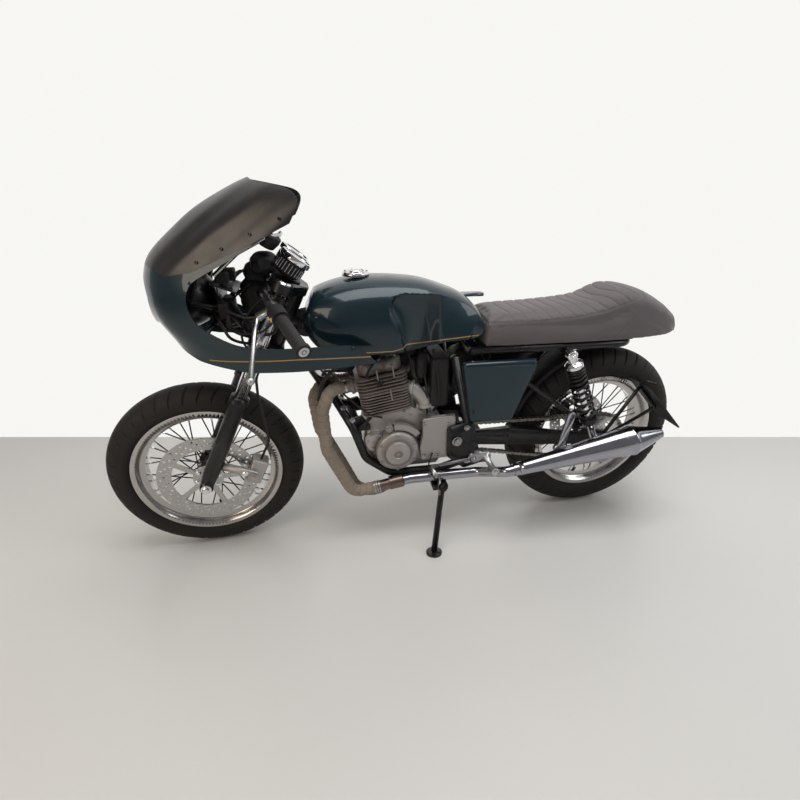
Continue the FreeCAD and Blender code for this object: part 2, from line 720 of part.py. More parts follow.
def clip_on():
    """A handlebar clamped to the left stanchion."""
    half = BAR_CLAMP_THICKNESS / 2
    ring = STANCHION_RADIUS + BAR_CLAMP_WALL
    clamp = rod(on_fork(BAR_CLAMP_HEIGHT - half, -LEG_Y, 0), on_fork(BAR_CLAMP_HEIGHT + half, -LEG_Y, 0), ring)
    lug = rod(on_fork(BAR_CLAMP_HEIGHT, -LEG_Y, 0), bar_point(0), BAR_RADIUS + BAR_CLAMP_WALL / 4)
    bar = rod(bar_point(0), bar_at(BAR_LENGTH + SEAT_GAP), BAR_RADIUS)
    end = rod(bar_at(BAR_LENGTH + SEAT_GAP), bar_at(BAR_LENGTH + SEAT_GAP + BAR_END_LENGTH), BAR_END_RADIUS)
    knob = rod(bar_point(0) - BAR_DIRECTION * BAR_RADIUS * 2, bar_point(0) + BAR_DIRECTION * BAR_RADIUS * 2,
               BAR_RADIUS + BAR_CLAMP_WALL / 2)
    bore = rod(on_fork(BAR_CLAMP_HEIGHT - BAR_CLAMP_THICKNESS, -LEG_Y, 0),
               on_fork(BAR_CLAMP_HEIGHT + BAR_CLAMP_THICKNESS, -LEG_Y, 0), STANCHION_RADIUS)
    return fused([clamp, lug, bar, end, knob]).cut(bore)


def sleeve(start, length, radius):
    """A sleeve on the left handlebar."""
    outer = rod(bar_at(start), bar_at(start + length), radius)
    inner = rod(bar_at(start - OVERRUN), bar_at(start + length + OVERRUN), BAR_RADIUS)
    return outer.cut(inner)


# The lever hangs forward and down from its perch
LEVER_PIVOT = bar_at(PERCH_START + PERCH_LENGTH / 2) + vec(-PERCH_REACH, 0, -PERCH_REACH / 2)
LEVER_TIP = LEVER_PIVOT + vec(-LEVER_REACH + BAR_SWEEP / 2, -LEVER_LENGTH, -LEVER_DROP - BAR_DROP / 2)
LEVER_BEND_SHARE = 0.3


def lever():
    """A left lever with its perch clamped on the bar."""
    perch = rod(bar_at(PERCH_START), bar_at(PERCH_START + PERCH_LENGTH), PERCH_RADIUS)
    arm = rod(bar_at(PERCH_START + PERCH_LENGTH / 2), LEVER_PIVOT, PERCH_LENGTH / 2)
    knuckle = LEVER_PIVOT + (LEVER_TIP - LEVER_PIVOT) * LEVER_BEND_SHARE + vec(0, 0, PERCH_REACH / 4)
    blade = bent_bar([LEVER_PIVOT, knuckle, LEVER_TIP], LEVER_RADIUS, LEVER_LENGTH)
    ball = Part.makeSphere(LEVER_BALL_RADIUS, LEVER_TIP)
    bore = rod(bar_at(PERCH_START - OVERRUN), bar_at(PERCH_START + PERCH_LENGTH + OVERRUN), BAR_RADIUS)
    return fused([perch, arm, blade, ball]).cut(bore)


def brake_perch():
    """The right lever, which also carries the brake's fluid reservoir."""
    base = bar_at(PERCH_START + PERCH_LENGTH / 2)
    body = rod(base, base + vec(-PERCH_REACH, 0, RESERVOIR_HEIGHT), PERCH_LENGTH / 2)
    foot = base + vec(-PERCH_REACH, 0, RESERVOIR_HEIGHT)
    cup = rod(foot, foot + UP * RESERVOIR_HEIGHT, RESERVOIR_RADIUS)
    bore = rod(bar_at(PERCH_START - OVERRUN), bar_at(PERCH_START + PERCH_LENGTH + OVERRUN), BAR_RADIUS)
    return mirrored(fused([lever(), body, cup]).cut(bore))


# An instrument from its domed back to its recessed face: (share of radius, share of depth)
GAUGE_PROFILE_SHARES = ((0.0, 0.0), (0.6, 0.0), (0.9, 0.2), (0.9, 0.78), (1.0, 0.82), (1.0, 1.0), (0.9, 1.0),
                        (0.86, 0.92), (0.0, 0.92))


def gauges():
    """Two round instruments with stepped bezels, on a plate bolted to the upper yoke."""
    tilt = math.radians(GAUGE_TILT_ANGLE)
    facing = vec(math.sin(tilt), 0, math.cos(tilt))
    base = on_fork(UPPER_YOKE_HEIGHT + YOKE_THICKNESS / 2, 0, GAUGE_SETBACK)
    plate_low = base - BEHIND_FORK * GAUGE_RADIUS - ACROSS * (GAUGE_SPREAD / 2)
    corners = [plate_low, plate_low + ACROSS * GAUGE_SPREAD,
               plate_low + ACROSS * GAUGE_SPREAD + BEHIND_FORK * GAUGE_RADIUS * 2,
               plate_low + BEHIND_FORK * GAUGE_RADIUS * 2]
    plate = Part.Face(rounded_path(corners, STEM_RADIUS, True)).extrude(UP_FORK * GAUGE_PLATE_THICKNESS)
    parts = [plate]
    profile = [(GAUGE_RADIUS * across, GAUGE_DEPTH * up) for across, up in GAUGE_PROFILE_SHARES]
    for side in (-1, 1):
        foot = base + ACROSS * (side * GAUGE_SPREAD / 2)
        seat = foot + UP_FORK * GAUGE_HEIGHT
        parts.append(rod(foot, seat, STEM_RADIUS))
        parts.append(turned(profile, seat - facing * (GAUGE_DEPTH / 2), facing))
    return fused(parts)


CALIPER_RISE_SHARE = 0.9


def front_caliper():
    """A caliper behind the left leg, over the disc's edge."""
    centre_radius = FRONT_DISC_RADIUS - DISC_BAND / 2
    height = CALIPER_LENGTH * CALIPER_RISE_SHARE
    centre = on_fork(height, -FRONT_DISC_OFFSET, centre_radius)
    body = Part.makeBox(CALIPER_HEIGHT, CALIPER_WIDTH + OVERRUN, CALIPER_LENGTH,
                        vec(-CALIPER_HEIGHT / 2, -(CALIPER_WIDTH + OVERRUN) / 2, -CALIPER_LENGTH / 2))
    body = body.makeFillet(CALIPER_WIDTH / 5, body.Edges)
    body.Placement = Base.Placement(centre, Base.Rotation(ACROSS, RAKE_ANGLE)).multiply(body.Placement)
    slot_half = DISC_THICKNESS / 2 + CALIPER_SLOT_GAP
    ring = spun([(-slot_half, FRONT_DISC_RADIUS / 2), (-slot_half, FRONT_DISC_RADIUS + CALIPER_SLOT_GAP * 2),
                 (slot_half, FRONT_DISC_RADIUS + CALIPER_SLOT_GAP * 2), (slot_half, FRONT_DISC_RADIUS / 2)])
    ring.translate(FRONT_AXLE - ACROSS * FRONT_DISC_OFFSET)
    arm = rod(on_fork(height, -LEG_Y, LEG_RADIUS + SEAT_GAP), on_fork(height, -LEG_Y, centre_radius),
              LEG_RADIUS / 2)
    return fused([body, arm]).cut(ring)


# Where the hose leaves the caliper, and its bends as shares of its run
HOSE_RISE_SHARES = (0.5, 0.22, 0.62)


def brake_hose():
    """The hose from the caliper's top up behind the left leg to the lower yoke."""
    low = CALIPER_LENGTH * (CALIPER_RISE_SHARE + HOSE_RISE_SHARES[0]) + SEAT_GAP
    top = LOWER_YOKE_HEIGHT - YOKE_THICKNESS / 2 - SEAT_GAP
    back = FRONT_DISC_RADIUS - DISC_BAND / 2
    run = top - low
    path = [on_fork(low, -HOSE_ACROSS, back), on_fork(low + run * HOSE_RISE_SHARES[1], -HOSE_ACROSS, back),
            on_fork(low + run * HOSE_RISE_SHARES[2], -HOSE_ACROSS, LEG_RADIUS * 2),
            on_fork(top - run * HOSE_RISE_SHARES[1], -HOSE_ACROSS, LEG_RADIUS),
            on_fork(top, -HOSE_ACROSS, LEG_RADIUS)]
    return bent_bar(path, HOSE_RADIUS, HOSE_BEND)


def fork():
    left_bar = clip_on()
    grip = sleeve(GRIP_START, GRIP_LENGTH, GRIP_RADIUS)
    switch = sleeve(SWITCH_START, SWITCH_LENGTH, SWITCH_RADIUS)
    return {
        "fork_lowers": fork_lowers(),
        "stanchions": stanchions(),
        "yokes": yokes(),
        "clip_ons": both_sides(left_bar),
        "grips": both_sides(grip),
        "switch_blocks": both_sides(switch),
        "levers": Part.makeCompound([lever(), brake_perch()]),
        "gauges": gauges(),
        "front_caliper": front_caliper(),
        "brake_hose": brake_hose(),
    }


# Frame

HEAD_LOW = LOWER_YOKE_HEIGHT + YOKE_THICKNESS / 2 + HEAD_TUBE_GAP
HEAD_HIGH = UPPER_YOKE_HEIGHT - YOKE_THICKNESS / 2 - HEAD_TUBE_GAP
HEAD_MIDDLE = (HEAD_LOW + HEAD_HIGH) / 2
SPINE_END = vec(PIVOT_X + PIVOT_PLATE_Y / 4, 0, SEAT_RAIL_Z + SPINE_RADIUS)


def frame_spine():
    """Steering head, backbone with the tank's buffers, its cross bar and the fairing's stay."""
    head = rod(on_fork(HEAD_LOW, 0, FORK_OFFSET), on_fork(HEAD_HIGH, 0, FORK_OFFSET), HEAD_TUBE_RADIUS)
    start = on_fork(HEAD_MIDDLE, 0, FORK_OFFSET)
    knee = vec((start.x + SPINE_END.x) / 2, 0, SPINE_END.z + SPINE_RADIUS)
    back = bent_bar([start, knee, SPINE_END], SPINE_RADIUS, BEND_RADIUS * 2)
    low = vec(SPINE_END.x, 0, SEAT_RAIL_Z)
    cross = rod(low - ACROSS * SEAT_RAIL_HALF_WIDTH, low + ACROSS * SEAT_RAIL_HALF_WIDTH, SEAT_RAIL_RADIUS)
    buffer = (start + knee) / 2 - UP * TANK_BUFFER_RADIUS * 1.5
    buffer_half = ACROSS * (TANK_TUNNEL_RADIUS - SEAT_GAP)
    buffers = rod(buffer - buffer_half, buffer + buffer_half, TANK_BUFFER_RADIUS)
    stay_root = on_fork(LOWER_YOKE_HEIGHT + FAIRING_STAY_RISE, 0, FORK_OFFSET)
    stay_end = stay_root - vec(FAIRING_STAY_REACH, 0, 0)
    stay = rod(stay_root, stay_end, SEAT_RAIL_RADIUS)
    stay_half = ACROSS * FAIRING_STAY_HALF
    bar = rod(stay_end - stay_half, stay_end + stay_half, SEAT_RAIL_RADIUS / 2)
    bore_low = on_fork(HEAD_LOW - OVERRUN, 0, FORK_OFFSET)
    bore_high = on_fork(HEAD_HIGH + OVERRUN, 0, FORK_OFFSET)
    bore = rod(bore_low, bore_high, STEM_RADIUS + STEM_CLEARANCE)
    return fused([head, back, cross, buffers, stay, bar]).cut(bore)


CRADLE_END_Y = PIVOT_PLATE_Y - PIVOT_PLATE_THICKNESS / 2 - SEAT_GAP - RAIL_RADIUS
HORN_PLACE = vec(CRANK_X - HORN_LEAD, -DOWNTUBE_RADIUS - SEAT_GAP, CRANK_Z + HORN_RISE)
# The engine's front mount: (share of shoulder lead, share of shoulder rise), from the crankshaft
MOUNT_SHARES = ((-1.04, 1.36), (-0.8, 1.46), (-0.6, 1.0), (-0.62, 0.84), (-0.76, 0.84), (-1.02, 0.8))


def frame_cradle():
    """The downtube with the horn's strap, the two rails round the engine and the front engine mounts."""
    top = on_fork(HEAD_LOW + DOWNTUBE_ROOT_RISE, 0, FORK_OFFSET + HEAD_TUBE_RADIUS)
    fork_point = vec(CRANK_X - FORK_POINT_LEAD, 0, CRANK_Z + FORK_POINT_RISE)
    parts = [rod(top, fork_point, DOWNTUBE_RADIUS)]
    mount = outline_at(CRANK_X, CRANK_Z, SHOULDER_LEAD, SHOULDER_RISE, MOUNT_SHARES)
    for side in (-1, 1):
        across = side * CRADLE_HALF_WIDTH
        path = [fork_point, vec(CRANK_X - SHOULDER_LEAD, across, CRANK_Z + SHOULDER_RISE),
                vec(CRANK_X - SHIN_LEAD, across, CRANK_Z - SHIN_DROP),
                vec(CRANK_X - TOE_LEAD, across, CRADLE_FLOOR),
                vec(PIVOT_X - RAIL_RADIUS * 3, across, CRADLE_FLOOR),
                vec(PIVOT_X + RAIL_RADIUS * 2, side * CRADLE_END_Y, CRADLE_FLOOR + CRADLE_TAIL_RISE)]
        parts.append(bent_bar(path, RAIL_RADIUS, BEND_RADIUS))
        face = side * (max(CASE_LEFT, CASE_RIGHT) + SEAT_GAP)
        parts.append(side_plate(mount, face, face + side * MOUNT_THICKNESS, RAIL_RADIUS / 2))
    along = (HORN_PLACE.z - fork_point.z) / (top.z - fork_point.z)
    strap = fork_point + (top - fork_point) * along - ACROSS * (DOWNTUBE_RADIUS / 2)
    strap_end = vec(HORN_PLACE.x, strap.y, HORN_PLACE.z)
    parts.append(rod(strap, strap_end, RAIL_RADIUS / 2))
    parts.append(rod(strap_end, HORN_PLACE + ACROSS * SEAT_GAP, RAIL_RADIUS * 0.6))
    return fused(parts)


# A pivot plate's outline: (share of its length, share of its height), from the swingarm's pivot
PIVOT_PLATE_SHARES = ((-0.27, 0.275), (0.43, 0.385), (0.6, -0.11), (0.73, -0.527), (0.238, -0.615),
                      (-0.238, -0.33))

# How far behind the pivot an upright stands, as a share of its lean
UPRIGHT_FOOT_SHARE = 0.655


def pivot_plates():
    """The plates that hold the swingarm pivot and the uprights above them."""
    outline = outline_at(PIVOT_X, PIVOT_Z, PIVOT_PLATE_LENGTH, PIVOT_PLATE_HEIGHT, PIVOT_PLATE_SHARES)
    near = -PIVOT_PLATE_Y - PIVOT_PLATE_THICKNESS / 2
    plate = side_plate(outline, near, near + PIVOT_PLATE_THICKNESS, RAIL_RADIUS)
    foot_x = PIVOT_X + UPRIGHT_LEAN * UPRIGHT_FOOT_SHARE
    top = vec(foot_x - UPRIGHT_LEAN, -SEAT_RAIL_HALF_WIDTH, SEAT_RAIL_Z - SEAT_RAIL_RADIUS - SEAT_GAP)
    flush = PIVOT_PLATE_Y + PIVOT_PLATE_THICKNESS / 2 - RAIL_RADIUS
    upright = rod(vec(foot_x, -flush, PIVOT_Z + UPRIGHT_FOOT_RISE), top, RAIL_RADIUS)
    pivot = vec(PIVOT_X, 0, PIVOT_Z)
    bore = rod(pivot - ACROSS * PIVOT_PLATE_Y * 2, pivot, PIVOT_SHAFT_RADIUS + SEAT_GAP)
    return both_sides(fused([plate, upright]).cut(bore))


# Where a hanger's bar leaves its strut, as a share of the strut, and the hanger's lean as a share of its length
HANGER_BAR_SHARE = 0.6
COVER_PEG_SHARE = 0.45
HANGER_LEAN_SHARE = 0.2
HANGER_TOP = vec(HANGER_X + HANGER_LENGTH * HANGER_LEAN_SHARE, 0, HANGER_Z + HANGER_LENGTH)


def silencer_hanger():
    """A light alloy strut that holds the silencer, hung from its bar."""
    half = HANGER_WIDTH / 2
    near = -HANGER_Y - HANGER_THICKNESS / 2
    outline = [(HANGER_X - half, HANGER_Z - half), (HANGER_X + half, HANGER_Z - half),
               (HANGER_TOP.x + half, HANGER_TOP.z + half), (HANGER_TOP.x - half, HANGER_TOP.z + half)]
    strut = side_plate(outline, near, near + HANGER_THICKNESS, half)
    boss_face = vec(HANGER_X, near, HANGER_Z)
    boss = rod(boss_face, boss_face + ACROSS * HANGER_THICKNESS * 2, HANGER_BOSS_RADIUS)
    return fused([strut, boss])


def seat_rails():
    """Two rails under the seat joined by a loop at the back, with their struts and the hangers' bars."""
    start = SPINE_END.x
    end = SEAT_RAIL_END_X
    half = SEAT_RAIL_HALF_WIDTH
    loop = [vec(start, -half, SEAT_RAIL_Z), vec(end, -half, SEAT_RAIL_Z), vec(end, half, SEAT_RAIL_Z),
            vec(start, half, SEAT_RAIL_Z)]
    parts = [bent_bar(loop, SEAT_RAIL_RADIUS, BEND_RADIUS)]
    for side in (-1, 1):
        foot_y = side * (PIVOT_PLATE_Y - PIVOT_PLATE_THICKNESS)
        foot = vec(PIVOT_X + STRUT_FOOT_LEAD, foot_y, PIVOT_Z + STRUT_FOOT_RISE)
        top = vec(SHOCK_TOP_X - STRUT_TOP_LEAD, side * SEAT_RAIL_HALF_WIDTH, SEAT_RAIL_Z)
        parts.append(rod(foot, top, SEAT_RAIL_RADIUS))
        peg_root = foot + (top - foot) * COVER_PEG_SHARE
        peg_end = vec(peg_root.x, side * (SIDE_COVER_Y - SEAT_GAP), peg_root.z)
        parts.append(rod(peg_root, peg_end, HANGER_BAR_RADIUS))
        bar_root = foot + (top - foot) * HANGER_BAR_SHARE
        bar_end = HANGER_TOP + ACROSS * side * (HANGER_Y - HANGER_THICKNESS / 2 - SEAT_GAP)
        bar_bend = bar_end - ACROSS * side * HANGER_BAR_RADIUS * 2
        parts.append(bent_bar([bar_root, bar_bend, bar_end], HANGER_BAR_RADIUS, HANGER_BAR_RADIUS * 2))
        stud_root = vec(SHOCK_TOP_X, side * (SEAT_RAIL_HALF_WIDTH - SEAT_RAIL_RADIUS), SHOCK_TOP_Z)
        stud_end = vec(SHOCK_TOP_X, side * (SHOCK_Y + SHOCK_EYE_WIDTH / 2), SHOCK_TOP_Z)
        parts.append(rod(stud_root, stud_end, SHOCK_PIN_RADIUS))
        tab = rod(stud_root, vec(SHOCK_TOP_X, side * SEAT_RAIL_HALF_WIDTH, SEAT_RAIL_Z), SEAT_RAIL_RADIUS)
        parts.append(tab)
    return fused(parts)


# Engine

TILT = math.radians(CYLINDER_TILT_ANGLE)
BORE_AXIS = vec(-math.sin(TILT), 0, math.cos(TILT))
BORE_BACK = vec(math.cos(TILT), 0, math.sin(TILT))
CRANK = vec(CRANK_X, 0, CRANK_Z)


def on_bore(height, across, behind):
    """A point measured from the crankshaft: up the cylinder, to the right and behind it."""
    return CRANK + BORE_AXIS * height + ACROSS * across + BORE_BACK * behind


def bore_slab(low, high, length, width, corner):
    """A rounded slab square to the cylinder."""
    half_length = length / 2
    half_width = width / 2
    points = [on_bore(low, -half_width, -half_length), on_bore(low, half_width, -half_length),
              on_bore(low, half_width, half_length), on_bore(low, -half_width, half_length)]
    return Part.Face(rounded_path(points, corner, True)).extrude(BORE_AXIS * (high - low))


# The crankcase below its deck: (share of its length, share of its height), from the crankshaft
CASE_SHARES = ((-0.383, 0.106), (-0.298, -0.266), (-0.106, -0.489), (0.525, -0.479), (0.617, -0.213),
               (0.546, 0.511))


def crankcase():
    """The crankcase and gearbox casting, with the balancer's bulge and the starter motor."""
    front = on_bore(DECK_HEIGHT, 0, -DECK_LENGTH / 2)
    back = on_bore(DECK_HEIGHT, 0, DECK_LENGTH / 2)
    outline = [(front.x, front.z)] + outline_at(CRANK_X, CRANK_Z, CASE_LENGTH, CASE_HEIGHT, CASE_SHARES)
    outline.append((back.x, back.z))
    body = side_plate(outline, -CASE_LEFT, CASE_RIGHT, RAIL_RADIUS)
    body = body.makeFillet(CASE_EDGE, edges_at(body, -CASE_LEFT) + edges_at(body, CASE_RIGHT))
    bulge_foot = vec(CRANK_X - BALANCER_LEAD, -CASE_LEFT + CASE_EDGE, CRANK_Z + BALANCER_RISE)
    bulge_end = bulge_foot - ACROSS * (BALANCER_DEPTH + CASE_EDGE)
    room = rod(CRANK, CRANK - ACROSS * CASE_LEFT * 2, GENERATOR_RADIUS + SEAT_GAP)
    bulge = cone(bulge_foot, bulge_end, BALANCER_RADIUS, BALANCER_RADIUS - CASE_EDGE / 2).cut(room)
    starter_low = vec(STARTER_X, -STARTER_LENGTH / 2 - STARTER_RADIUS / 2, STARTER_Z)
    starter = rod(starter_low, starter_low + ACROSS * STARTER_LENGTH, STARTER_RADIUS)
    return fused([body, bulge, starter])


def cylinder_barrel():
    """The finned barrel."""
    base = DECK_HEIGHT + SEAT_GAP
    parts = [bore_slab(base, base + BARREL_HEIGHT, BARREL_RADIUS * 2, BARREL_RADIUS * 2, FIN_CORNER_RADIUS)]
    pitch = BARREL_HEIGHT / BARREL_FIN_COUNT
    for index in range(BARREL_FIN_COUNT):
        low = base + index * pitch + pitch / 2
        parts.append(bore_slab(low, low + FIN_THICKNESS, FIN_LENGTH, FIN_WIDTH, FIN_CORNER_RADIUS))
    return fused(parts)


HEAD_BASE = DECK_HEIGHT + BARREL_HEIGHT + SEAT_GAP * 2


def cylinder_head():
    """The finned head, its rocker cover with round caps, and the two exhaust ports."""
    core = BARREL_RADIUS * 2
    parts = [bore_slab(HEAD_BASE, HEAD_BASE + HEAD_HEIGHT, core, core, FIN_CORNER_RADIUS)]
    pitch = HEAD_HEIGHT / HEAD_FIN_COUNT
    for index in range(HEAD_FIN_COUNT):
        low = HEAD_BASE + index * pitch + pitch / 2
        parts.append(bore_slab(low, low + FIN_THICKNESS, FIN_LENGTH, FIN_WIDTH, FIN_CORNER_RADIUS))
    foot = HEAD_BASE + HEAD_HEIGHT
    cover = bore_slab(foot, foot + ROCKER_HEIGHT, ROCKER_LENGTH, ROCKER_WIDTH, FIN_CORNER_RADIUS)
    top = foot + ROCKER_HEIGHT - SEAT_GAP
    crown = [edge for edge in cover.Edges if (edge.CenterOfMass - CRANK).dot(BORE_AXIS) > top]
    parts.append(cover.makeFillet(COVER_EDGE, crown))
    middle = foot + ROCKER_HEIGHT / 2
    for side in (-1, 1):
        across = side * PORT_SPREAD / 2
        height = HEAD_BASE + HEAD_HEIGHT / 2
        parts.append(rod(on_bore(height, across, 0), on_bore(height, across, -PORT_REACH), PORT_RADIUS))
        for along in (-1, 1):
            behind = along * ROCKER_LENGTH / 4
            edge = side * (ROCKER_WIDTH / 2 + ROCKER_CAP_DEPTH)
            parts.append(rod(on_bore(middle, 0, behind), on_bore(middle, edge, behind), ROCKER_CAP_RADIUS))
    return fused(parts)


# A round cover's face: (share of radius, share of depth)
COVER_PROFILE_SHARES = ((0.0, 0.0), (1.0, 0.0), (1.0, 0.62), (0.97, 0.73), (0.9, 0.8), (0.64, 0.84),
                        (0.6, 0.88), (0.58, 0.98), (0.54, 1.0), (0.0, 1.0))


def round_cover(x, z, inner, depth, radius):
    """A round engine cover with a stepped face, outwards from an inner distance."""
    sign = 1 if inner > 0 else -1
    profile = [(radius * across, depth * up) for across, up in COVER_PROFILE_SHARES]
    return turned(profile, vec(x, inner, z), ACROSS * sign)


# The sprocket cover: (share of its length, share of its height), from its place level with the crankshaft
SPROCKET_COVER_SHARES = ((0.05, 0.691), (0.95, 0.728), (1.0, 0.321), (0.803, 0.173), (0.918, -0.247),
                         (0.05, -0.272), (0.0, 0.037), (0.066, 0.309))
SPROCKET_POST_SHARES = ((0.164, 0.568), (0.148, -0.16), (0.541, -0.173))
SPROCKET_COVER_X = PIVOT_X - SPROCKET_COVER_LENGTH


def sprocket_cover():
    """The plate over the gearbox sprocket, on three posts from the crankcase."""
    outline = outline_at(SPROCKET_COVER_X, CRANK_Z, SPROCKET_COVER_LENGTH, SPROCKET_COVER_HEIGHT,
                         SPROCKET_COVER_SHARES)
    plate = side_plate(outline, -SPROCKET_COVER_OUTER, -SPROCKET_COVER_INNER, RAIL_RADIUS / 2)
    plate = plate.makeFillet((SPROCKET_COVER_OUTER - SPROCKET_COVER_INNER) / 4,
                             edges_at(plate, -SPROCKET_COVER_OUTER))
    parts = [plate]
    for x, z in outline_at(SPROCKET_COVER_X, CRANK_Z, SPROCKET_COVER_LENGTH, SPROCKET_COVER_HEIGHT,
                           SPROCKET_POST_SHARES):
        parts.append(rod(vec(x, -SPROCKET_COVER_INNER - SEAT_GAP, z), vec(x, -CASE_LEFT - SEAT_GAP, z),
                         RAIL_RADIUS / 2))
    pivot = vec(PIVOT_X, 0, PIVOT_Z)
    notch = rod(pivot - ACROSS * SPROCKET_COVER_OUTER * 2, pivot, SPROCKET_COVER_NOTCH)
    return fused(parts).cut(notch)


# The carburettor's bowl below and its cap above, and its width, in shares of the intake's radius
BOWL_SHARES = (2.0, 1.8, 1.2)


def carburettor():
    """Intake stub and carburettor body behind the head."""
    below, above, wide = BOWL_SHARES
    height = HEAD_BASE + HEAD_HEIGHT / 2
    start = on_bore(height, 0, FIN_LENGTH / 2 + SEAT_GAP)
    end = vec(AIR_BOX_X - SEAT_GAP, 0, start.z)
    run = PORT_RADIUS
    body = bent_bar([start, start + BORE_BACK * run, end - vec(run, 0, 0), end], PORT_RADIUS, PORT_RADIUS * 2)
    middle = (start + end) * 0.5
    bowl = rod(middle - UP * PORT_RADIUS * below, middle + UP * PORT_RADIUS * above, PORT_RADIUS * wide)
    return fused([body, bowl])


def air_box():
    """The flat sided box behind the carburettor."""
    low = vec(AIR_BOX_X, -AIR_BOX_HALF_WIDTH, AIR_BOX_Z)
    box = Part.makeBox(AIR_BOX_LENGTH, AIR_BOX_HALF_WIDTH * 2, AIR_BOX_HEIGHT, low)
    return box.makeFillet(COVER_EDGE, box.Edges)


# Exhaust

SILENCER_AXIS = vec(math.cos(math.radians(SILENCER_RISE_ANGLE)), 0, math.sin(math.radians(SILENCER_RISE_ANGLE)))
SILENCER_START = vec(SILENCER_X, -SILENCER_Y, SILENCER_Z)
HEADER_PASS_Y = CRADLE_HALF_WIDTH + RAIL_RADIUS + HEADER_RADIUS + CLAMP_WALL
COLLECTOR_X = CRANK_X - HEADER_RADIUS
# Each header's bends: shares of the port's reach behind, of the pass's distance across and of the port's drop
LEFT_HEADER_SHARES = ((-0.647, 0.535, 0.011), (-0.902, 0.667, -0.19), (-0.846, 0.857, -0.57),
                      (-0.101, 0.975, -1.075), (0.526, 0.975, -1.05))
RIGHT_HEADER_SHARES = ((-0.765, -0.425, -0.026), (-1.157, -0.065, -0.142), (-1.02, 0.292, -0.44),
                       (-0.412, 0.39, -0.843), (0.039, 0.471, -1.162), (0.569, 0.617, -1.181))
COLLECTOR_SHARE = 1.2
TAIL_PIPE_SHARE = 0.95


def header_path(port, joint, table):
    """A header's bends on the way from a port down to the joint under the left rail."""
    drop = port.z - joint.z
    points = [port, port - BORE_BACK * PORT_RADIUS]
    for behind, across, down in table:
        points.append(vec(port.x + PORT_REACH * behind, -HEADER_PASS_Y * across, port.z + drop * down))
    return points + [joint]


def exhaust_headers():
    """Two pipes from the head that join under the left rail and run back to the silencer."""
    height = HEAD_BASE + HEAD_HEIGHT / 2
    low = CRADLE_FLOOR - RAIL_RADIUS
    joint = vec(COLLECTOR_X, -HEADER_PASS_Y, low)
    left = header_path(on_bore(height, -PORT_SPREAD / 2, -PORT_REACH - SEAT_GAP), joint, LEFT_HEADER_SHARES)
    right = header_path(on_bore(height, PORT_SPREAD / 2, -PORT_REACH - SEAT_GAP), joint, RIGHT_HEADER_SHARES)
    under = low + HEADER_RADIUS / 2
    tail = [joint, vec(COLLECTOR_X + COLLECTOR_LENGTH, -HEADER_PASS_Y, under),
            vec(PIVOT_X + HEADER_TAIL_RUN, -HEADER_PASS_Y, under),
            SILENCER_START - SILENCER_AXIS * PIPE_BEND_RADIUS, SILENCER_START - SILENCER_AXIS * SEAT_GAP]
    pipe = HEADER_RADIUS * TAIL_PIPE_SHARE
    end = SILENCER_START - SILENCER_AXIS * SEAT_GAP
    parts = [bent_bar(left, HEADER_RADIUS, PIPE_BEND_RADIUS), bent_bar(right, HEADER_RADIUS, PIPE_BEND_RADIUS),
             Part.makeSphere(HEADER_RADIUS * COLLECTOR_SHARE, joint), bent_bar(tail, pipe, PIPE_BEND_RADIUS),
             rod(end - SILENCER_AXIS * CLAMP_WIDTH, end, pipe + CLAMP_WALL)]
    return fused(parts)


def silencer():
    """A megaphone with a seamed reverse cone and an open tip."""
    full = SILENCER_CONE_LENGTH + SILENCER_REVERSE_LENGTH
    wall = SILENCER_WALL
    seam = SILENCER_CONE_LENGTH
    rise = SEAM_HEIGHT
    profile = [(0, 0), (SILENCER_START_RADIUS, 0), (SILENCER_START_RADIUS, SILENCER_START_RADIUS),
               (SILENCER_RADIUS - rise, seam - rise * 2), (SILENCER_RADIUS, seam - rise),
               (SILENCER_RADIUS, seam + rise), (SILENCER_RADIUS - rise, seam + rise * 2),
               (SILENCER_TIP_RADIUS, full), (SILENCER_TIP_RADIUS - wall, full),
               (SILENCER_TIP_RADIUS - wall, full - SILENCER_REVERSE_LENGTH / 2),
               (0, full - SILENCER_REVERSE_LENGTH / 2)]
    return turned(profile, SILENCER_START, SILENCER_AXIS)


# Bodywork

# Tank stations: (share of length, share of half width, share of height, share of the bottom's rise)
TANK_STATION_SHARES = (
    (0.0, 0.42, 0.66, 0.42), (0.04, 0.66, 0.78, 0.22), (0.12, 0.86, 0.88, 0.05), (0.24, 0.97, 0.965, 0.0),
    (0.38, 1.0, 1.0, 0.0), (0.54, 0.99, 0.985, 0.02), (0.68, 0.95, 0.93, 0.08), (0.8, 0.9, 0.83, 0.12),
    (0.91, 0.83, 0.7, 0.13), (0.97, 0.76, 0.56, 0.14), (1.0, 0.68, 0.44, 0.17),
)
# Half section of the tank: (share of half width, share of the height above the bottom)
TANK_SECTION_SHARES = ((0.9, 0.0), (1.0, 0.22), (0.98, 0.52), (0.84, 0.78), (0.55, 0.94), (0.0, 1.0))
# The knee recess at its floor and at its rim, from its foot round to the tail:
# (share of tank length, share of tank height)
KNEE_FLOOR_SHARES = ((0.548, -0.06), (0.541, 0.21), (0.509, 0.5), (0.484, 0.7), (0.5, 0.775), (0.56, 0.8),
                     (0.67, 0.79), (0.8, 0.735), (1.04, 0.53), (1.04, -0.06))
KNEE_RIM_SHARES = ((0.506, -0.06), (0.493, 0.21), (0.45, 0.5), (0.419, 0.7), (0.44, 0.84), (0.52, 0.885),
                   (0.67, 0.88), (0.82, 0.82), (1.06, 0.62), (1.06, -0.06))
# How much deeper the recess's floor lies, at the tank's foot and at its crown
KNEE_DEEPER_SHARES = (0.9, 0.85)


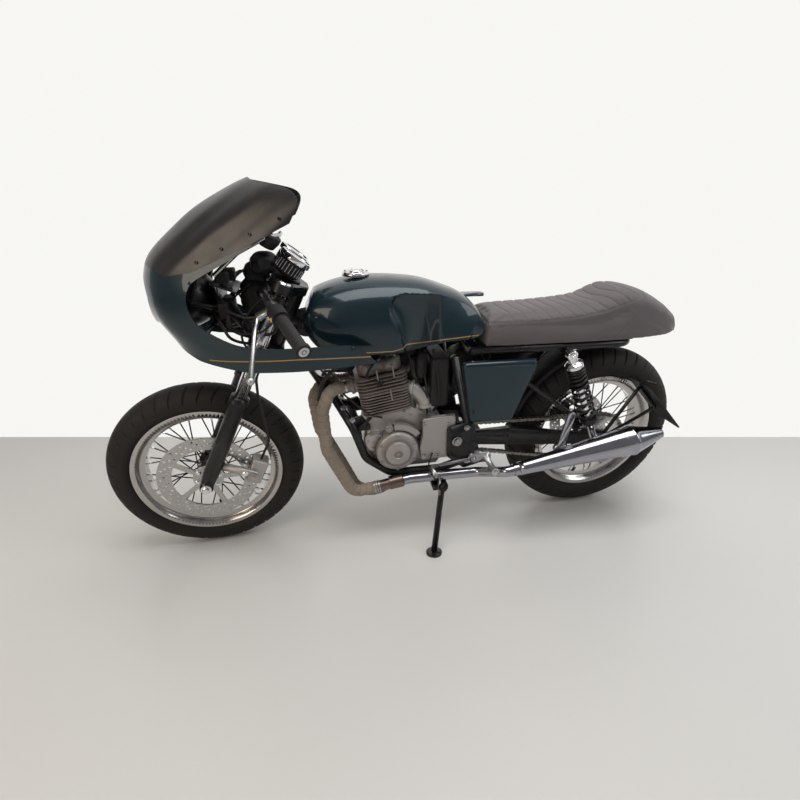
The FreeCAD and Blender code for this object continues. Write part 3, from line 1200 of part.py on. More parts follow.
def body_section(x, half_width, bottom, top, table):
    """A section across the machine: a smooth crown closed by a flat bottom."""
    half = [(half_width * across, bottom + (top - bottom) * up) for across, up in table]
    points = [vec(x, -across, z) for across, z in half]
    points += [vec(x, across, z) for across, z in reversed(half[:-1])]
    return smooth_section(points, True)


def knee_outline(table, depth_low, depth_high, taper):
    """One outline of the left knee recess, in a plane that leans in towards the tank's crown and its tail."""
    points = []
    for along, up in table:
        depth = depth_low + (depth_high - depth_low) * up + taper * (along - table[0][0])
        height = TANK_BOTTOM + TANK_HEIGHT * up
        points.append(vec(TANK_FRONT_X + TANK_LENGTH * along, depth - TANK_HALF_WIDTH, height))
    curve = Part.BSplineCurve()
    curve.interpolate(points[:-1])
    foot = Part.makePolygon([points[-2], points[-1], points[0]])
    return Part.Wire([curve.toShape()] + foot.Edges)


def knee_recess():
    """The block that cuts the left knee recess, with a sloping wall round its floor."""
    base, more = KNEE_DEEPER_SHARES
    floor = knee_outline(KNEE_FLOOR_SHARES, KNEE_DEPTH * base, KNEE_DEPTH * (base + more), KNEE_TAPER)
    rim = knee_outline(KNEE_RIM_SHARES, -OVERRUN, -OVERRUN, 0)
    return Part.makeLoft([floor, rim], True, True)


TONGUE_HEIGHT_SHARE = 0.665


def tank_tongue():
    """The flat tongue that reaches back over the seat's nose."""
    half = TONGUE_WIDTH / 2
    high = TANK_BOTTOM + TANK_HEIGHT * TONGUE_HEIGHT_SHARE
    start = TANK_FRONT_X + TANK_LENGTH - TONGUE_LENGTH
    end = TANK_FRONT_X + TANK_LENGTH + TONGUE_LENGTH / 3
    points = [vec(start, -half, high), vec(end, -half, high), vec(end, half, high), vec(start, half, high)]
    return Part.Face(rounded_path(points, TONGUE_WIDTH / 3, True)).extrude(UP * TONGUE_THICKNESS)


def tank():
    """The fuel tank, with knee recesses, a tunnel for the backbone and its tail's tongue."""
    sections = []
    for along, wide, high, rise in TANK_STATION_SHARES:
        sections.append(body_section(TANK_FRONT_X + TANK_LENGTH * along, TANK_HALF_WIDTH * wide,
                                     TANK_BOTTOM + TANK_HEIGHT * rise, TANK_BOTTOM + TANK_HEIGHT * high,
                                     TANK_SECTION_SHARES))
    body = Part.makeLoft(sections, True, False)
    start = on_fork(HEAD_MIDDLE, 0, FORK_OFFSET)
    knee = vec((start.x + SPINE_END.x) / 2, 0, SPINE_END.z + SPINE_RADIUS)
    beyond = SPINE_END + (SPINE_END - knee).normalize() * TANK_LENGTH
    tunnel = bent_bar([start, knee, beyond], TANK_TUNNEL_RADIUS, BEND_RADIUS * 2)
    far = TANK_FRONT_X + TANK_LENGTH * 2
    slot = side_plate([(start.x, start.z), (knee.x, knee.z), (SPINE_END.x, SPINE_END.z), (far, SPINE_END.z),
                       (far, TANK_BOTTOM - TANK_HEIGHT), (start.x, TANK_BOTTOM - TANK_HEIGHT)],
                      -TANK_TUNNEL_RADIUS, TANK_TUNNEL_RADIUS, RAIL_RADIUS)
    ahead = Part.makeBox(TANK_LENGTH, TANK_HALF_WIDTH * 4, TANK_LENGTH * 2,
                         vec(TANK_HEAD_GAP - TANK_LENGTH, -TANK_HALF_WIDTH * 2, -TANK_LENGTH))
    ahead.Placement = Base.Placement(start, Base.Rotation(ACROSS, RAKE_ANGLE)).multiply(ahead.Placement)
    recess = knee_recess()
    body = body.cut(tunnel).cut(slot).cut(ahead).cut(recess).cut(mirrored(recess))
    return fused([body, tank_tongue()])


# The cap's profile: (share of radius, share of height)
CAP_PROFILE_SHARES = ((0.0, 0.0), (1.0, 0.0), (1.0, 0.45), (0.92, 0.8), (0.76, 0.8), (0.7, 0.55), (0.5, 0.55),
                      (0.46, 1.0), (0.0, 1.0))


def fuel_cap():
    """A round aircraft style cap with a raised ring and lock, let into the tank's crown."""
    x = TANK_FRONT_X + TANK_LENGTH * CAP_SHARE
    top = TANK_BOTTOM + TANK_HEIGHT + SEAT_GAP
    height = CAP_HEIGHT - SEAT_GAP
    return turned([(CAP_RADIUS * across, height * up) for across, up in CAP_PROFILE_SHARES], vec(x, 0, top), UP)


# Seat stations: (share of length, share of half width, shares of height at the welt and at the crest)
SEAT_STATION_SHARES = (
    (0.0, 0.93, 0.42, 0.57), (0.1, 0.96, 0.44, 0.62), (0.24, 0.98, 0.45, 0.65), (0.37, 1.0, 0.455, 0.69),
    (0.46, 1.0, 0.48, 0.74), (0.51, 1.0, 0.52, 0.79), (0.56, 1.0, 0.59, 0.89), (0.61, 0.99, 0.66, 0.98),
    (0.67, 0.97, 0.69, 1.0), (0.735, 0.93, 0.64, 0.95), (0.8, 0.87, 0.54, 0.83), (0.87, 0.77, 0.42, 0.665),
    (0.94, 0.6, 0.28, 0.45), (1.0, 0.3, 0.14, 0.16),
)
# The crown between the welts: (share of half width, share of the rise from the welt to the crest)
SEAT_CROWN_SHARES = ((1.0, 0.0), (0.88, 0.4), (0.62, 0.76), (0.3, 0.96), (0.0, 1.0))
SEAT_FOOT_SHARE = 0.97


def seat_section(x, half_width, welt, crest):
    """A section of the seat: a flat foot, two side walls and a crown between the welts."""
    half = [(half_width * across, welt + (crest - welt) * up) for across, up in SEAT_CROWN_SHARES]
    points = [vec(x, -across, z) for across, z in half]
    points += [vec(x, across, z) for across, z in reversed(half[:-1])]
    crown = Part.BSplineCurve()
    crown.interpolate(points)
    foot = half_width * SEAT_FOOT_SHARE
    walls = Part.makePolygon([points[-1], vec(x, foot, SEAT_BOTTOM), vec(x, -foot, SEAT_BOTTOM), points[0]])
    return Part.Wire([crown.toShape()] + walls.Edges)


def seat():
    """The single seat with its hump."""
    sections = []
    for along, wide, welt, crest in SEAT_STATION_SHARES:
        sections.append(seat_section(SEAT_FRONT_X + SEAT_LENGTH * along, SEAT_HALF_WIDTH * wide,
                                     SEAT_BOTTOM + SEAT_HEIGHT * welt, SEAT_BOTTOM + SEAT_HEIGHT * crest))
    return Part.makeLoft(sections, True, False)


# A side cover: (share of its length, share of its height), from its upper front corner
SIDE_COVER_SHARES = ((0.0, 0.0), (0.976, 0.0), (1.0, -0.086), (0.742, -1.0), (0.161, -0.971))


def side_covers():
    """The bulged panels under the seat."""
    outline = outline_at(PIVOT_X - SEAT_RAIL_RADIUS / 2, SEAT_RAIL_Z - SEAT_RAIL_RADIUS * 2, SIDE_COVER_LENGTH,
                         SIDE_COVER_HEIGHT, SIDE_COVER_SHARES)
    outer = -SIDE_COVER_Y - SIDE_COVER_DEPTH
    cover = side_plate(outline, outer, -SIDE_COVER_Y, RAIL_RADIUS)
    return both_sides(cover.makeFillet(SIDE_COVER_EDGE, edges_at(cover, outer)))


# Fairing slices square to the steering axis:
# (share of height above the foot, share of the reach ahead, share of half width)
FAIRING_SLICE_SHARES = (
    (0.0, 0.64, 0.76), (0.07, 0.76, 0.82), (0.14, 0.885, 0.88), (0.22, 0.963, 0.95), (0.3, 0.995, 0.985),
    (0.38, 1.0, 1.0), (0.47, 0.967, 1.0), (0.56, 0.918, 1.0), (0.66, 0.858, 1.0), (0.75, 0.787, 1.0),
    (0.84, 0.705, 1.0), (0.92, 0.615, 0.99), (1.0, 0.5, 0.97),
)
FAIRING_SHOULDER_SHARE = 0.26
FAIRING_TAIL_SHARE = 0.62
FAIRING_TAPER_SHARE = 0.82
FAIRING_CURVE_STEPS = 8


def slice_point(height, behind, across):
    """A point of the fairing: up the steering direction from the ground, behind it, and across."""
    return UP_FORK * height + BEHIND_FORK * behind + ACROSS * across


def fairing_body(inset):
    """The fairing's whole form as a solid, made smaller all round by an inset."""
    sections = []
    table = FAIRING_SLICE_SHARES
    for index, (rise, ahead, wide) in enumerate(table):
        low = table[max(index - 1, 0)]
        high = table[min(index + 1, len(table) - 1)]
        slope = (high[1] - low[1]) * FAIRING_REACH / ((high[0] - low[0]) * FAIRING_HEIGHT)
        nose = FAIRING_REACH * ahead - inset * math.hypot(1, slope)
        half = FAIRING_HALF_WIDTH * wide - inset
        shoulder = -FAIRING_REACH * FAIRING_SHOULDER_SHARE
        depth = nose + shoulder
        height = FAIRING_FOOT + FAIRING_HEIGHT * rise
        side = [(FAIRING_REACH * FAIRING_TAIL_SHARE, half * FAIRING_TAPER_SHARE)]
        side.append((FAIRING_REACH * FAIRING_TAIL_SHARE / 3, half * (FAIRING_TAPER_SHARE + 2) / 3))
        for step in range(FAIRING_CURVE_STEPS):
            angle = math.pi / 2 * step / FAIRING_CURVE_STEPS
            side.append((shoulder - depth * math.sin(angle), half * math.cos(angle)))
        points = [slice_point(height, behind, -across) for behind, across in side]
        points.append(slice_point(height, shoulder - depth, 0))
        points += [slice_point(height, behind, across) for behind, across in reversed(side)]
        sections.append(smooth_section(points, True))
    return Part.makeLoft(sections, True, False)


# Side view of the fairing and screen: places as (share of wheelbase, share of wheelbase)
SEAM_SHARES = ((-0.11, 0.706), (-0.0176, 0.7), (0.0154, 0.6865), (0.069, 0.6968), (0.18, 0.7445),
               (0.229, 0.7687), (0.2636, 0.7856))
FAIRING_LOWER_SHARES = ((-0.11, 0.6), (-0.029, 0.561), (0.0514, 0.5257), (0.1446, 0.5051), (0.2416, 0.5066),
                        (0.3972, 0.5132))
FAIRING_CUTOUT_SHARES = ((0.373, 0.5397), (0.3429, 0.558), (0.271, 0.558), (0.2, 0.558), (0.145, 0.563),
                         (0.108, 0.577), (0.068, 0.603), (0.055, 0.654), (0.066, 0.6775), (0.1204, 0.7063),
                         (0.1615, 0.727), (0.213, 0.7563), (0.2625, 0.7765))
SCREEN_TOP_SHARES = ((0.2636, 0.7856), (0.281, 0.8178), (0.2687, 0.8325), (0.1762, 0.8473), (0.1762, 0.93),
                     (-0.11, 0.93))


def side_region(table):
    """A wide block that keeps only what lies inside an outline seen from the side."""
    points = [vec(WHEELBASE * across, -FAIRING_HALF_WIDTH * 2, WHEELBASE * up) for across, up in table]
    face = Part.Face(Part.makePolygon(points + [points[0]]))
    return face.extrude(vec(0, FAIRING_HALF_WIDTH * 4, 0))


def fairing_and_screen():
    """The half fairing with its cockpit cut-outs and lamp hole, and the screen above its seam."""
    shell = fairing_body(0).cut(fairing_body(FAIRING_WALL))
    region = side_region(FAIRING_LOWER_SHARES + FAIRING_CUTOUT_SHARES + tuple(reversed(SEAM_SHARES)))
    lamp_hole = rod(vec(-FAIRING_REACH, 0, HEADLAMP_Z), vec(0, 0, HEADLAMP_Z), HEADLAMP_RADIUS + SEAT_GAP)
    lower = shell.common(region).cut(lamp_hole)
    raised = [(across, up) for across, up in SEAM_SHARES]
    upper = shell.common(side_region(tuple(raised) + SCREEN_TOP_SHARES[1:]))
    upper.translate(UP * SEAT_GAP)
    return lower, upper


# The lamp's glass and bowl: (share of radius, share of depth)
HEADLAMP_PROFILE_SHARES = ((0.0, 0.0), (0.5, 0.04), (0.8, 0.1), (1.0, 0.18), (1.0, 0.4), (0.86, 0.7),
                           (0.6, 1.0), (0.0, 1.0))


def headlamp():
    """A round lamp in the fairing's nose."""
    glass = [(HEADLAMP_RADIUS * across, HEADLAMP_DEPTH * up) for across, up in HEADLAMP_PROFILE_SHARES]
    return turned(glass, vec(-HEADLAMP_LEAD, 0, HEADLAMP_Z), vec(1, 0, 0))


# Rear end


def swingarm():
    """Two arms from the pivot to the axle, with a cross tube, the axle and studs for the shocks."""
    parts = []
    half = SWINGARM_TUBE_WIDTH / 2
    high = SWINGARM_TUBE_HEIGHT / 2
    outline = [(PIVOT_X - high * 0.8, PIVOT_Z - high * 0.7), (PIVOT_X - high * 0.8, PIVOT_Z + high * 0.7),
               (PIVOT_X + SWINGARM_KNEE, PIVOT_Z + high),
               (WHEELBASE + SWINGARM_TAIL, REAR_TYRE_RADIUS + high * 0.6),
               (WHEELBASE + SWINGARM_TAIL, REAR_TYRE_RADIUS - high * 0.6),
               (PIVOT_X + SWINGARM_KNEE, PIVOT_Z - high * 1.6)]
    for side in (-1, 1):
        parts.append(side_plate(outline, side * SWINGARM_Y - half, side * SWINGARM_Y + half, high * 0.4))
        stud_root = vec(SHOCK_BOTTOM_X, side * SWINGARM_Y, SHOCK_BOTTOM_Z)
        parts.append(rod(stud_root, vec(SHOCK_BOTTOM_X, side * (SHOCK_Y + SHOCK_EYE_WIDTH / 2), SHOCK_BOTTOM_Z),
                         SHOCK_PIN_RADIUS))
        parts.append(rod(stud_root - UP * high, stud_root + UP * SHOCK_PIN_RADIUS * 2, half * 0.9))
    reach = SWINGARM_Y + half * 2
    parts.append(rod(REAR_AXLE - ACROSS * reach, REAR_AXLE + ACROSS * reach, AXLE_RADIUS))
    spacer = AXLE_RADIUS + RIM_WALL
    parts.append(rod(REAR_AXLE - ACROSS * SWINGARM_Y,
                     REAR_AXLE - ACROSS * (SPROCKET_OFFSET + SPROCKET_THICKNESS / 2 + SEAT_GAP), spacer))
    parts.append(rod(REAR_AXLE + ACROSS * SWINGARM_Y,
                     REAR_AXLE + ACROSS * (REAR_DISC_OFFSET + DISC_THICKNESS / 2 + SEAT_GAP), spacer))
    pivot = vec(PIVOT_X, 0, PIVOT_Z)
    shaft = PIVOT_PLATE_Y + PIVOT_PLATE_THICKNESS
    parts.append(rod(pivot - ACROSS * shaft, pivot + ACROSS * shaft, PIVOT_SHAFT_RADIUS))
    cross = vec(PIVOT_X + SWINGARM_CROSS_LEAD, 0, PIVOT_Z - SWINGARM_CROSS_DROP)
    parts.append(rod(cross - ACROSS * SWINGARM_Y, cross + ACROSS * SWINGARM_Y, RAIL_RADIUS * 1.3))
    return fused(parts)


def shocks():
    """Two shock absorbers with their springs."""
    top = vec(SHOCK_TOP_X, -SHOCK_Y, SHOCK_TOP_Z)
    bottom = vec(SHOCK_BOTTOM_X, -SHOCK_Y, SHOCK_BOTTOM_Z)
    length = (bottom - top).Length
    spring_start = length * 0.12
    spring_end = length * 0.72
    profile = [(0, 0), (SHOCK_EYE_RADIUS * 0.7, 0), (SHOCK_EYE_RADIUS * 0.7, length * 0.08),
               (SHOCK_SPRING_RADIUS, length * 0.08), (SHOCK_SPRING_RADIUS, spring_start)]
    pitch = (spring_end - spring_start) / SPRING_RINGS
    inner = SHOCK_SPRING_RADIUS - SPRING_WIRE_RADIUS
    for index in range(SPRING_RINGS):
        low = spring_start + index * pitch
        profile += [(inner, low + pitch * 0.25), (SHOCK_SPRING_RADIUS, low + pitch * 0.5),
                    (inner, low + pitch * 0.75)]
    profile += [(SHOCK_SPRING_RADIUS, spring_end), (SHOCK_SPRING_RADIUS, length * 0.75),
                (SHOCK_BODY_RADIUS, length * 0.75), (SHOCK_BODY_RADIUS, length - SHOCK_EYE_RADIUS / 2),
                (0, length - SHOCK_EYE_RADIUS / 2)]
    body = turned(profile, top, bottom - top)
    half = SHOCK_EYE_WIDTH / 2
    parts = [body]
    for eye in (top, bottom):
        parts.append(rod(eye - ACROSS * half, eye + ACROSS * half, SHOCK_EYE_RADIUS))
    whole = fused(parts)
    for eye in (top, bottom):
        whole = whole.cut(rod(eye - ACROSS * half * 3, eye + ACROSS * half * 3, SHOCK_PIN_RADIUS + SEAT_GAP))
    return both_sides(whole)


def loop_outline(grow):
    """The chain's outline about both sprockets, as a closed wire, made larger by a distance."""
    front = vec(FRONT_SPROCKET_X, 0, FRONT_SPROCKET_Z)
    rear = REAR_AXLE
    small = FRONT_SPROCKET_RADIUS + grow
    large = SPROCKET_RADIUS + grow
    line = rear - front
    turn = math.asin((large - small) / line.Length)
    slope = math.atan2(line.z, line.x)
    top = slope + math.pi / 2 + turn
    bottom = slope - math.pi / 2 - turn

    def at(centre, radius, angle):
        return centre + vec(radius * math.cos(angle), 0, radius * math.sin(angle))

    edges = [Part.LineSegment(at(front, small, top), at(rear, large, top)).toShape(),
             Part.Arc(at(rear, large, top), at(rear, large, slope), at(rear, large, bottom)).toShape(),
             Part.LineSegment(at(rear, large, bottom), at(front, small, bottom)).toShape(),
             Part.Arc(at(front, small, bottom), at(front, small, slope + math.pi),
                      at(front, small, top)).toShape()]
    return Part.Wire(edges)


def chain():
    """The drive chain as one loop."""
    outer = Part.Face(loop_outline(CHAIN_HEIGHT + SEAT_GAP)).extrude(ACROSS * CHAIN_WIDTH)
    inner = Part.Face(loop_outline(SEAT_GAP)).extrude(ACROSS * CHAIN_WIDTH)
    loop = outer.cut(inner)
    loop.translate(vec(0, -SPROCKET_OFFSET - CHAIN_WIDTH / 2, 0))
    return loop


PLATE_SLOPE = math.radians(PLATE_SLOPE_ANGLE)
PLATE_ALONG = vec(math.cos(PLATE_SLOPE), 0, -math.sin(PLATE_SLOPE))
PLATE_NORMAL = vec(math.sin(PLATE_SLOPE), 0, math.cos(PLATE_SLOPE))
PLATE_CENTRE = vec(WHEELBASE + PLATE_LEAD, 0, REAR_TYRE_RADIUS + PLATE_RISE)
PLATE_NEAR = -REAR_TYRE_WIDTH / 2 - OVERRUN - PLATE_WIDTH


def plate_and_carrier():
    """The number plate beside the wheel, on a triangular stay from the swingarm's end."""
    along = PLATE_ALONG
    centre = PLATE_CENTRE
    near = PLATE_NEAR
    start = centre - along * (PLATE_LENGTH / 2) + ACROSS * near
    normal = PLATE_NORMAL
    corners = [start, start + along * PLATE_LENGTH, start + along * PLATE_LENGTH + ACROSS * PLATE_WIDTH,
               start + ACROSS * PLATE_WIDTH]
    plate = Part.Face(rounded_path(corners, RAIL_RADIUS, True)).extrude(normal * PLATE_THICKNESS)
    root = vec(WHEELBASE - PLATE_STAY_LEAD,
               -SWINGARM_Y - SWINGARM_TUBE_WIDTH / 2 - SEAT_RAIL_RADIUS / 2 - SEAT_GAP,
               REAR_TYRE_RADIUS + PLATE_STAY_RISE)
    middle = ACROSS * (near + PLATE_WIDTH / 2)
    under = normal * (SEAT_GAP + SEAT_RAIL_RADIUS / 2)
    high = centre - along * (PLATE_LENGTH * 0.4) + middle - under
    low = centre + along * (PLATE_LENGTH * 0.1) + middle - under
    carrier = fused([rod(root, high, SEAT_RAIL_RADIUS / 2), rod(root, low, SEAT_RAIL_RADIUS / 2),
                     rod(high, low, SEAT_RAIL_RADIUS / 2)])
    return plate, carrier


FOOTREST_FACE = -PIVOT_PLATE_Y - PIVOT_PLATE_THICKNESS / 2 - SEAT_GAP
FOOTREST_HUB = vec(PIVOT_X + FOOTREST_LEAD, FOOTREST_FACE, PIVOT_Z - FOOTREST_DROP)
PEG_ROOT = FOOTREST_HUB + vec(FOOTREST_REACH, -PIVOT_PLATE_THICKNESS, 0)


def footrest():
    """The left rear-set: a hanger, a peg with its end flange and a toe lever."""
    face = FOOTREST_FACE
    hub_point = FOOTREST_HUB
    end = PEG_ROOT
    half = FOOTREST_HALF
    plate = side_plate([(hub_point.x - half, hub_point.z - half), (hub_point.x - half, hub_point.z + half),
                        (end.x + half, end.z + half), (end.x + half, end.z - half)],
                       face, face - PIVOT_PLATE_THICKNESS, half * 0.75)
    peg = rod(end, end - ACROSS * PEG_LENGTH, PEG_RADIUS)
    peg_end = end - ACROSS * PEG_LENGTH
    flange = rod(peg_end + ACROSS * (PIVOT_PLATE_THICKNESS / 2), peg_end, PEG_RADIUS * 1.4)
    lever_pivot = hub_point - ACROSS * PIVOT_PLATE_THICKNESS * 0.75
    toe = lever_pivot + vec(-PEDAL_LENGTH, -PEDAL_SPREAD, -PEDAL_DROP)
    pedal = rod(lever_pivot, toe, RAIL_RADIUS / 3)
    tip = rod(toe, toe - ACROSS * PEG_LENGTH / 2, RAIL_RADIUS / 2)
    return fused([plate, peg, flange, pedal, tip])


def rear_caliper():
    """A caliper over the rear disc, carried by the right arm."""
    centre_radius = REAR_DISC_RADIUS - DISC_BAND / 3
    centre = REAR_AXLE + vec(-centre_radius * 0.86, REAR_DISC_OFFSET, centre_radius * 0.5)
    body = Part.makeBox(CALIPER_LENGTH * 0.8, CALIPER_WIDTH * 0.8, CALIPER_HEIGHT,
                        centre - vec(CALIPER_LENGTH * 0.4, CALIPER_WIDTH * 0.4, CALIPER_HEIGHT / 2))
    foot = centre - UP * CALIPER_HEIGHT * 0.4
    lug = rod(foot, vec(foot.x, SWINGARM_Y - SWINGARM_TUBE_WIDTH / 2 - SEAT_GAP, foot.z), PERCH_LENGTH / 3)
    slot_half = DISC_THICKNESS / 2 + CALIPER_SLOT_GAP
    ring = spun([(-slot_half, 0), (-slot_half, REAR_DISC_RADIUS + CALIPER_SLOT_GAP * 2),
                 (slot_half, REAR_DISC_RADIUS + CALIPER_SLOT_GAP * 2), (slot_half, 0)])
    ring.translate(REAR_AXLE + ACROSS * REAR_DISC_OFFSET)
    return fused([body, lug]).cut(ring)


# The horn's shell: (share of radius, share of depth)
HORN_PROFILE_SHARES = ((0.0, 0.0), (0.8, 0.0), (0.86, 0.3), (1.0, 0.4), (1.0, 0.55), (0.9, 0.7), (0.4, 0.8),
                       (0.36, 1.0), (0.0, 1.0))


def horn():
    """A round horn beside the downtube."""
    profile = [(HORN_RADIUS * across, HORN_DEPTH * up) for across, up in HORN_PROFILE_SHARES]
    return turned(profile, HORN_PLACE, -ACROSS)


# Side stand

STAND_PIVOT = vec(STAND_PIVOT_X, -STAND_PIVOT_Y, STAND_PIVOT_Z)
STAND_TILT = math.radians(STAND_AXIS_ANGLE)
STAND_AXIS = vec(0, -math.cos(STAND_TILT), math.sin(STAND_TILT))


def contact_height(centre, axis, radius, width):
    """The height of a leaning tyre's lowest point, for a tyre turned about an axis."""
    crown = width / 2
    return centre.z - (radius - crown) * math.sqrt(1 - axis.z ** 2) - crown


def steer_rotation():
    """The turn of the fork about the steering axis; the front wheel points left."""
    return Base.Placement(ORIGIN, Base.Rotation(UP_FORK, STEER_ANGLE), FRONT_AXLE + BEHIND_FORK * FORK_OFFSET)


def lean_placement():
    """The lean onto the stand, and the small pitch and drop that set both tyres on the floor."""
    steer = steer_rotation()
    lean = Base.Placement(ORIGIN, Base.Rotation(vec(1, 0, 0), LEAN_ANGLE), ORIGIN)
    both = lean.multiply(steer)
    front_centre = both.multVec(FRONT_AXLE)
    front_axis = both.Rotation.multVec(ACROSS)
    rear_centre = lean.multVec(REAR_AXLE)
    rear_axis = lean.Rotation.multVec(ACROSS)
    front_low = contact_height(front_centre, front_axis, FRONT_TYRE_RADIUS, FRONT_TYRE_WIDTH)
    rear_low = contact_height(rear_centre, rear_axis, REAR_TYRE_RADIUS, REAR_TYRE_WIDTH)
    pitch = math.atan2(rear_low - front_low, rear_centre.x - front_centre.x)
    turn = Base.Placement(ORIGIN, Base.Rotation(ACROSS, math.degrees(pitch)))
    drop = Base.Placement(vec(0, 0, -front_low - front_centre.x * math.sin(pitch)), Base.Rotation())
    return drop.multiply(turn).multiply(lean)


def side_stand(lean):
    """The leg from its pivot to the foot, which lies flat on the floor."""
    foot = vec(STAND_FOOT_X, -STAND_FOOT_SPAN, 0)
    floor_point = lean.multVec(foot)
    floor_point = vec(floor_point.x, floor_point.y, 0)
    back = lean.inverse()
    low = back.multVec(floor_point)
    high = back.multVec(floor_point + UP * STAND_FOOT_THICKNESS)
    foot_pad = rod(low, high, STAND_FOOT_RADIUS)
    knuckle = rod(STAND_PIVOT - STAND_AXIS * STAND_KNUCKLE_HALF, STAND_PIVOT + STAND_AXIS * STAND_KNUCKLE_HALF,
                  STAND_KNUCKLE_RADIUS)
    leg = rod(STAND_PIVOT, high, STAND_LEG_RADIUS)
    through = STAND_AXIS * STAND_KNUCKLE_HALF * 2
    bore = rod(STAND_PIVOT - through, STAND_PIVOT + through, SHOCK_PIN_RADIUS + AXLE_CLEARANCE)
    return fused([foot_pad, knuckle, leg]).cut(bore)


def stand_bracket():
    """A bracket from the left rail, under the exhaust, out to the bolt that holds the stand."""
    width = STAND_BRACKET_WIDTH
    arm_low = STAND_PIVOT_Z - STAND_KNUCKLE_HALF * 2
    arm_outer = -STAND_PIVOT_Y + STAND_KNUCKLE_RADIUS
    inner = -CRADLE_HALF_WIDTH + RAIL_RADIUS / 2
    arm = Part.makeBox(width, inner - arm_outer, STAND_ARM_THICKNESS,
                       vec(STAND_PIVOT_X - width / 2, arm_outer, arm_low))
    riser = Part.makeBox(width, RAIL_RADIUS, CRADLE_FLOOR - arm_low,
                         vec(STAND_PIVOT_X - width / 2, inner - RAIL_RADIUS, arm_low))
    near = STAND_KNUCKLE_HALF + SEAT_GAP
    far = near + STAND_ARM_THICKNESS / 2
    bolt = rod(STAND_PIVOT - STAND_AXIS * far, STAND_PIVOT + STAND_AXIS * far, SHOCK_PIN_RADIUS)
    cheek = rod(STAND_PIVOT - STAND_AXIS * far, STAND_PIVOT - STAND_AXIS * near, STAND_KNUCKLE_RADIUS)
    head = rod(STAND_PIVOT + STAND_AXIS * near, STAND_PIVOT + STAND_AXIS * far, SHOCK_PIN_RADIUS * 1.7)
    room = rod(STAND_PIVOT - STAND_AXIS * near, STAND_PIVOT + STAND_AXIS * STAND_BRACKET_WIDTH,
               STAND_KNUCKLE_RADIUS * 2)
    return fused([fused([arm, riser]).cut(room), cheek, bolt, head])


def inside(bar, wall):
    """What a wall leaves of a bar when the ends that stick out through it are cut off."""
    pieces = bar.cut(wall).Solids
    return max(pieces, key=lambda piece: piece.Volume)


def chassis():
    lower, upper = fairing_and_screen()
    plate, carrier = plate_and_carrier()
    spine = frame_spine()
    plates = pivot_plates()
    pieces = {
        "frame_spine": inside(spine, lower),
        "frame_cradle": fused([frame_cradle(), stand_bracket()]).cut(spine),
        "pivot_plates": plates,
        "seat_rails": seat_rails().cut(spine).cut(plates),
        "crankcase": crankcase(),
        "cylinder_barrel": cylinder_barrel(),
        "cylinder_head": cylinder_head(),
        "generator_cover": round_cover(CRANK_X, CRANK_Z, -CASE_LEFT - SEAT_GAP, GENERATOR_DEPTH,
                                       GENERATOR_RADIUS),
        "clutch_cover": round_cover(CRANK_X + CLUTCH_SETBACK, CRANK_Z, CASE_RIGHT + SEAT_GAP, CLUTCH_DEPTH,
                                    CLUTCH_RADIUS),
        "sprocket_cover": sprocket_cover(),
        "carburettor": carburettor(),
        "air_box": air_box(),
        "exhaust_headers": exhaust_headers(),
        "silencer": silencer(),
        "tank": tank(),
        "fuel_cap": fuel_cap(),
        "seat": seat(),
        "side_covers": side_covers(),
        "fairing": lower,
        "screen": upper,
        "headlamp": headlamp(),
        "swingarm": swingarm(),
        "shocks": shocks(),
        "chain": chain(),
        "plate_carrier": carrier,
        "number_plate": plate,
        "footrests": Part.makeCompound([both_sides(footrest()), both_sides(silencer_hanger())]),
        "rear_caliper": rear_caliper(),
        "horn": horn(),
    }
    return pieces


def main():
    os.makedirs("parts", exist_ok=True)
    steer = steer_rotation()
    lean = lean_placement()
    placed_parts = {}
    for group, turned_with_fork in ((front_wheel(), True), (fork(), True), (rear_wheel(), False),
                                    (chassis(), False), ({"side_stand": side_stand(lean)}, False)):
        for name, shape in group.items():
            where = lean.multiply(steer) if turned_with_fork else lean
            placed_parts[name] = shape.copy()
            placed_parts[name].Placement = where.multiply(placed_parts[name].Placement)
    box = Part.makeCompound(list(placed_parts.values())).optimalBoundingBox(True, False)
    shift = vec(-box.Center.x, -box.Center.y, -box.ZMin)
    for name, shape in placed_parts.items():
        shape.translate(shift)
        print(name, shape.isValid(), len(shape.Solids), round(shape.Volume / 1000), "cm3")
        shape.exportStep(os.path.join("parts", name + ".step"))
    base = Base.Placement(shift, Base.Rotation()).multiply(lean)
    turned_base = base.multiply(steer)
    places = {"front axle": turned_base.multVec(FRONT_AXLE), "rear axle": base.multVec(REAR_AXLE),
              "steering": base.multVec(on_fork(HEAD_MIDDLE, 0, FORK_OFFSET)),
              "stand pivot": base.multVec(STAND_PIVOT),
              "left peg": base.multVec(PEG_ROOT - ACROSS * PEG_LENGTH / 2),
              "number plate": base.multVec(PLATE_CENTRE + ACROSS * (PLATE_NEAR + PLATE_WIDTH / 2)
                                           + PLATE_NORMAL * PLATE_THICKNESS)}
    ways = {"front axle": turned_base.Rotation.multVec(ACROSS), "rear axle": base.Rotation.multVec(ACROSS),
            "steering": base.Rotation.multVec(UP_FORK), "stand pivot": base.Rotation.multVec(STAND_AXIS),
            "left peg": base.Rotation.multVec(-ACROSS), "number plate": base.Rotation.multVec(PLATE_NORMAL)}
    for name, place in places.items():
        print("place", name, tuple(round(v, 4) for v in place), "axis", tuple(round(v, 7) for v in ways[name]))
    print("steering range", -STEER_LOCK_ANGLE - STEER_ANGLE, STEER_LOCK_ANGLE - STEER_ANGLE)
    print("stand range", 0, STAND_SWING_ANGLE)
    print("box", box)


main()
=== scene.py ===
import json
import math

import bmesh
import bpy
from mathutils import Matrix, Vector
from mathutils.bvhtree import BVHTree


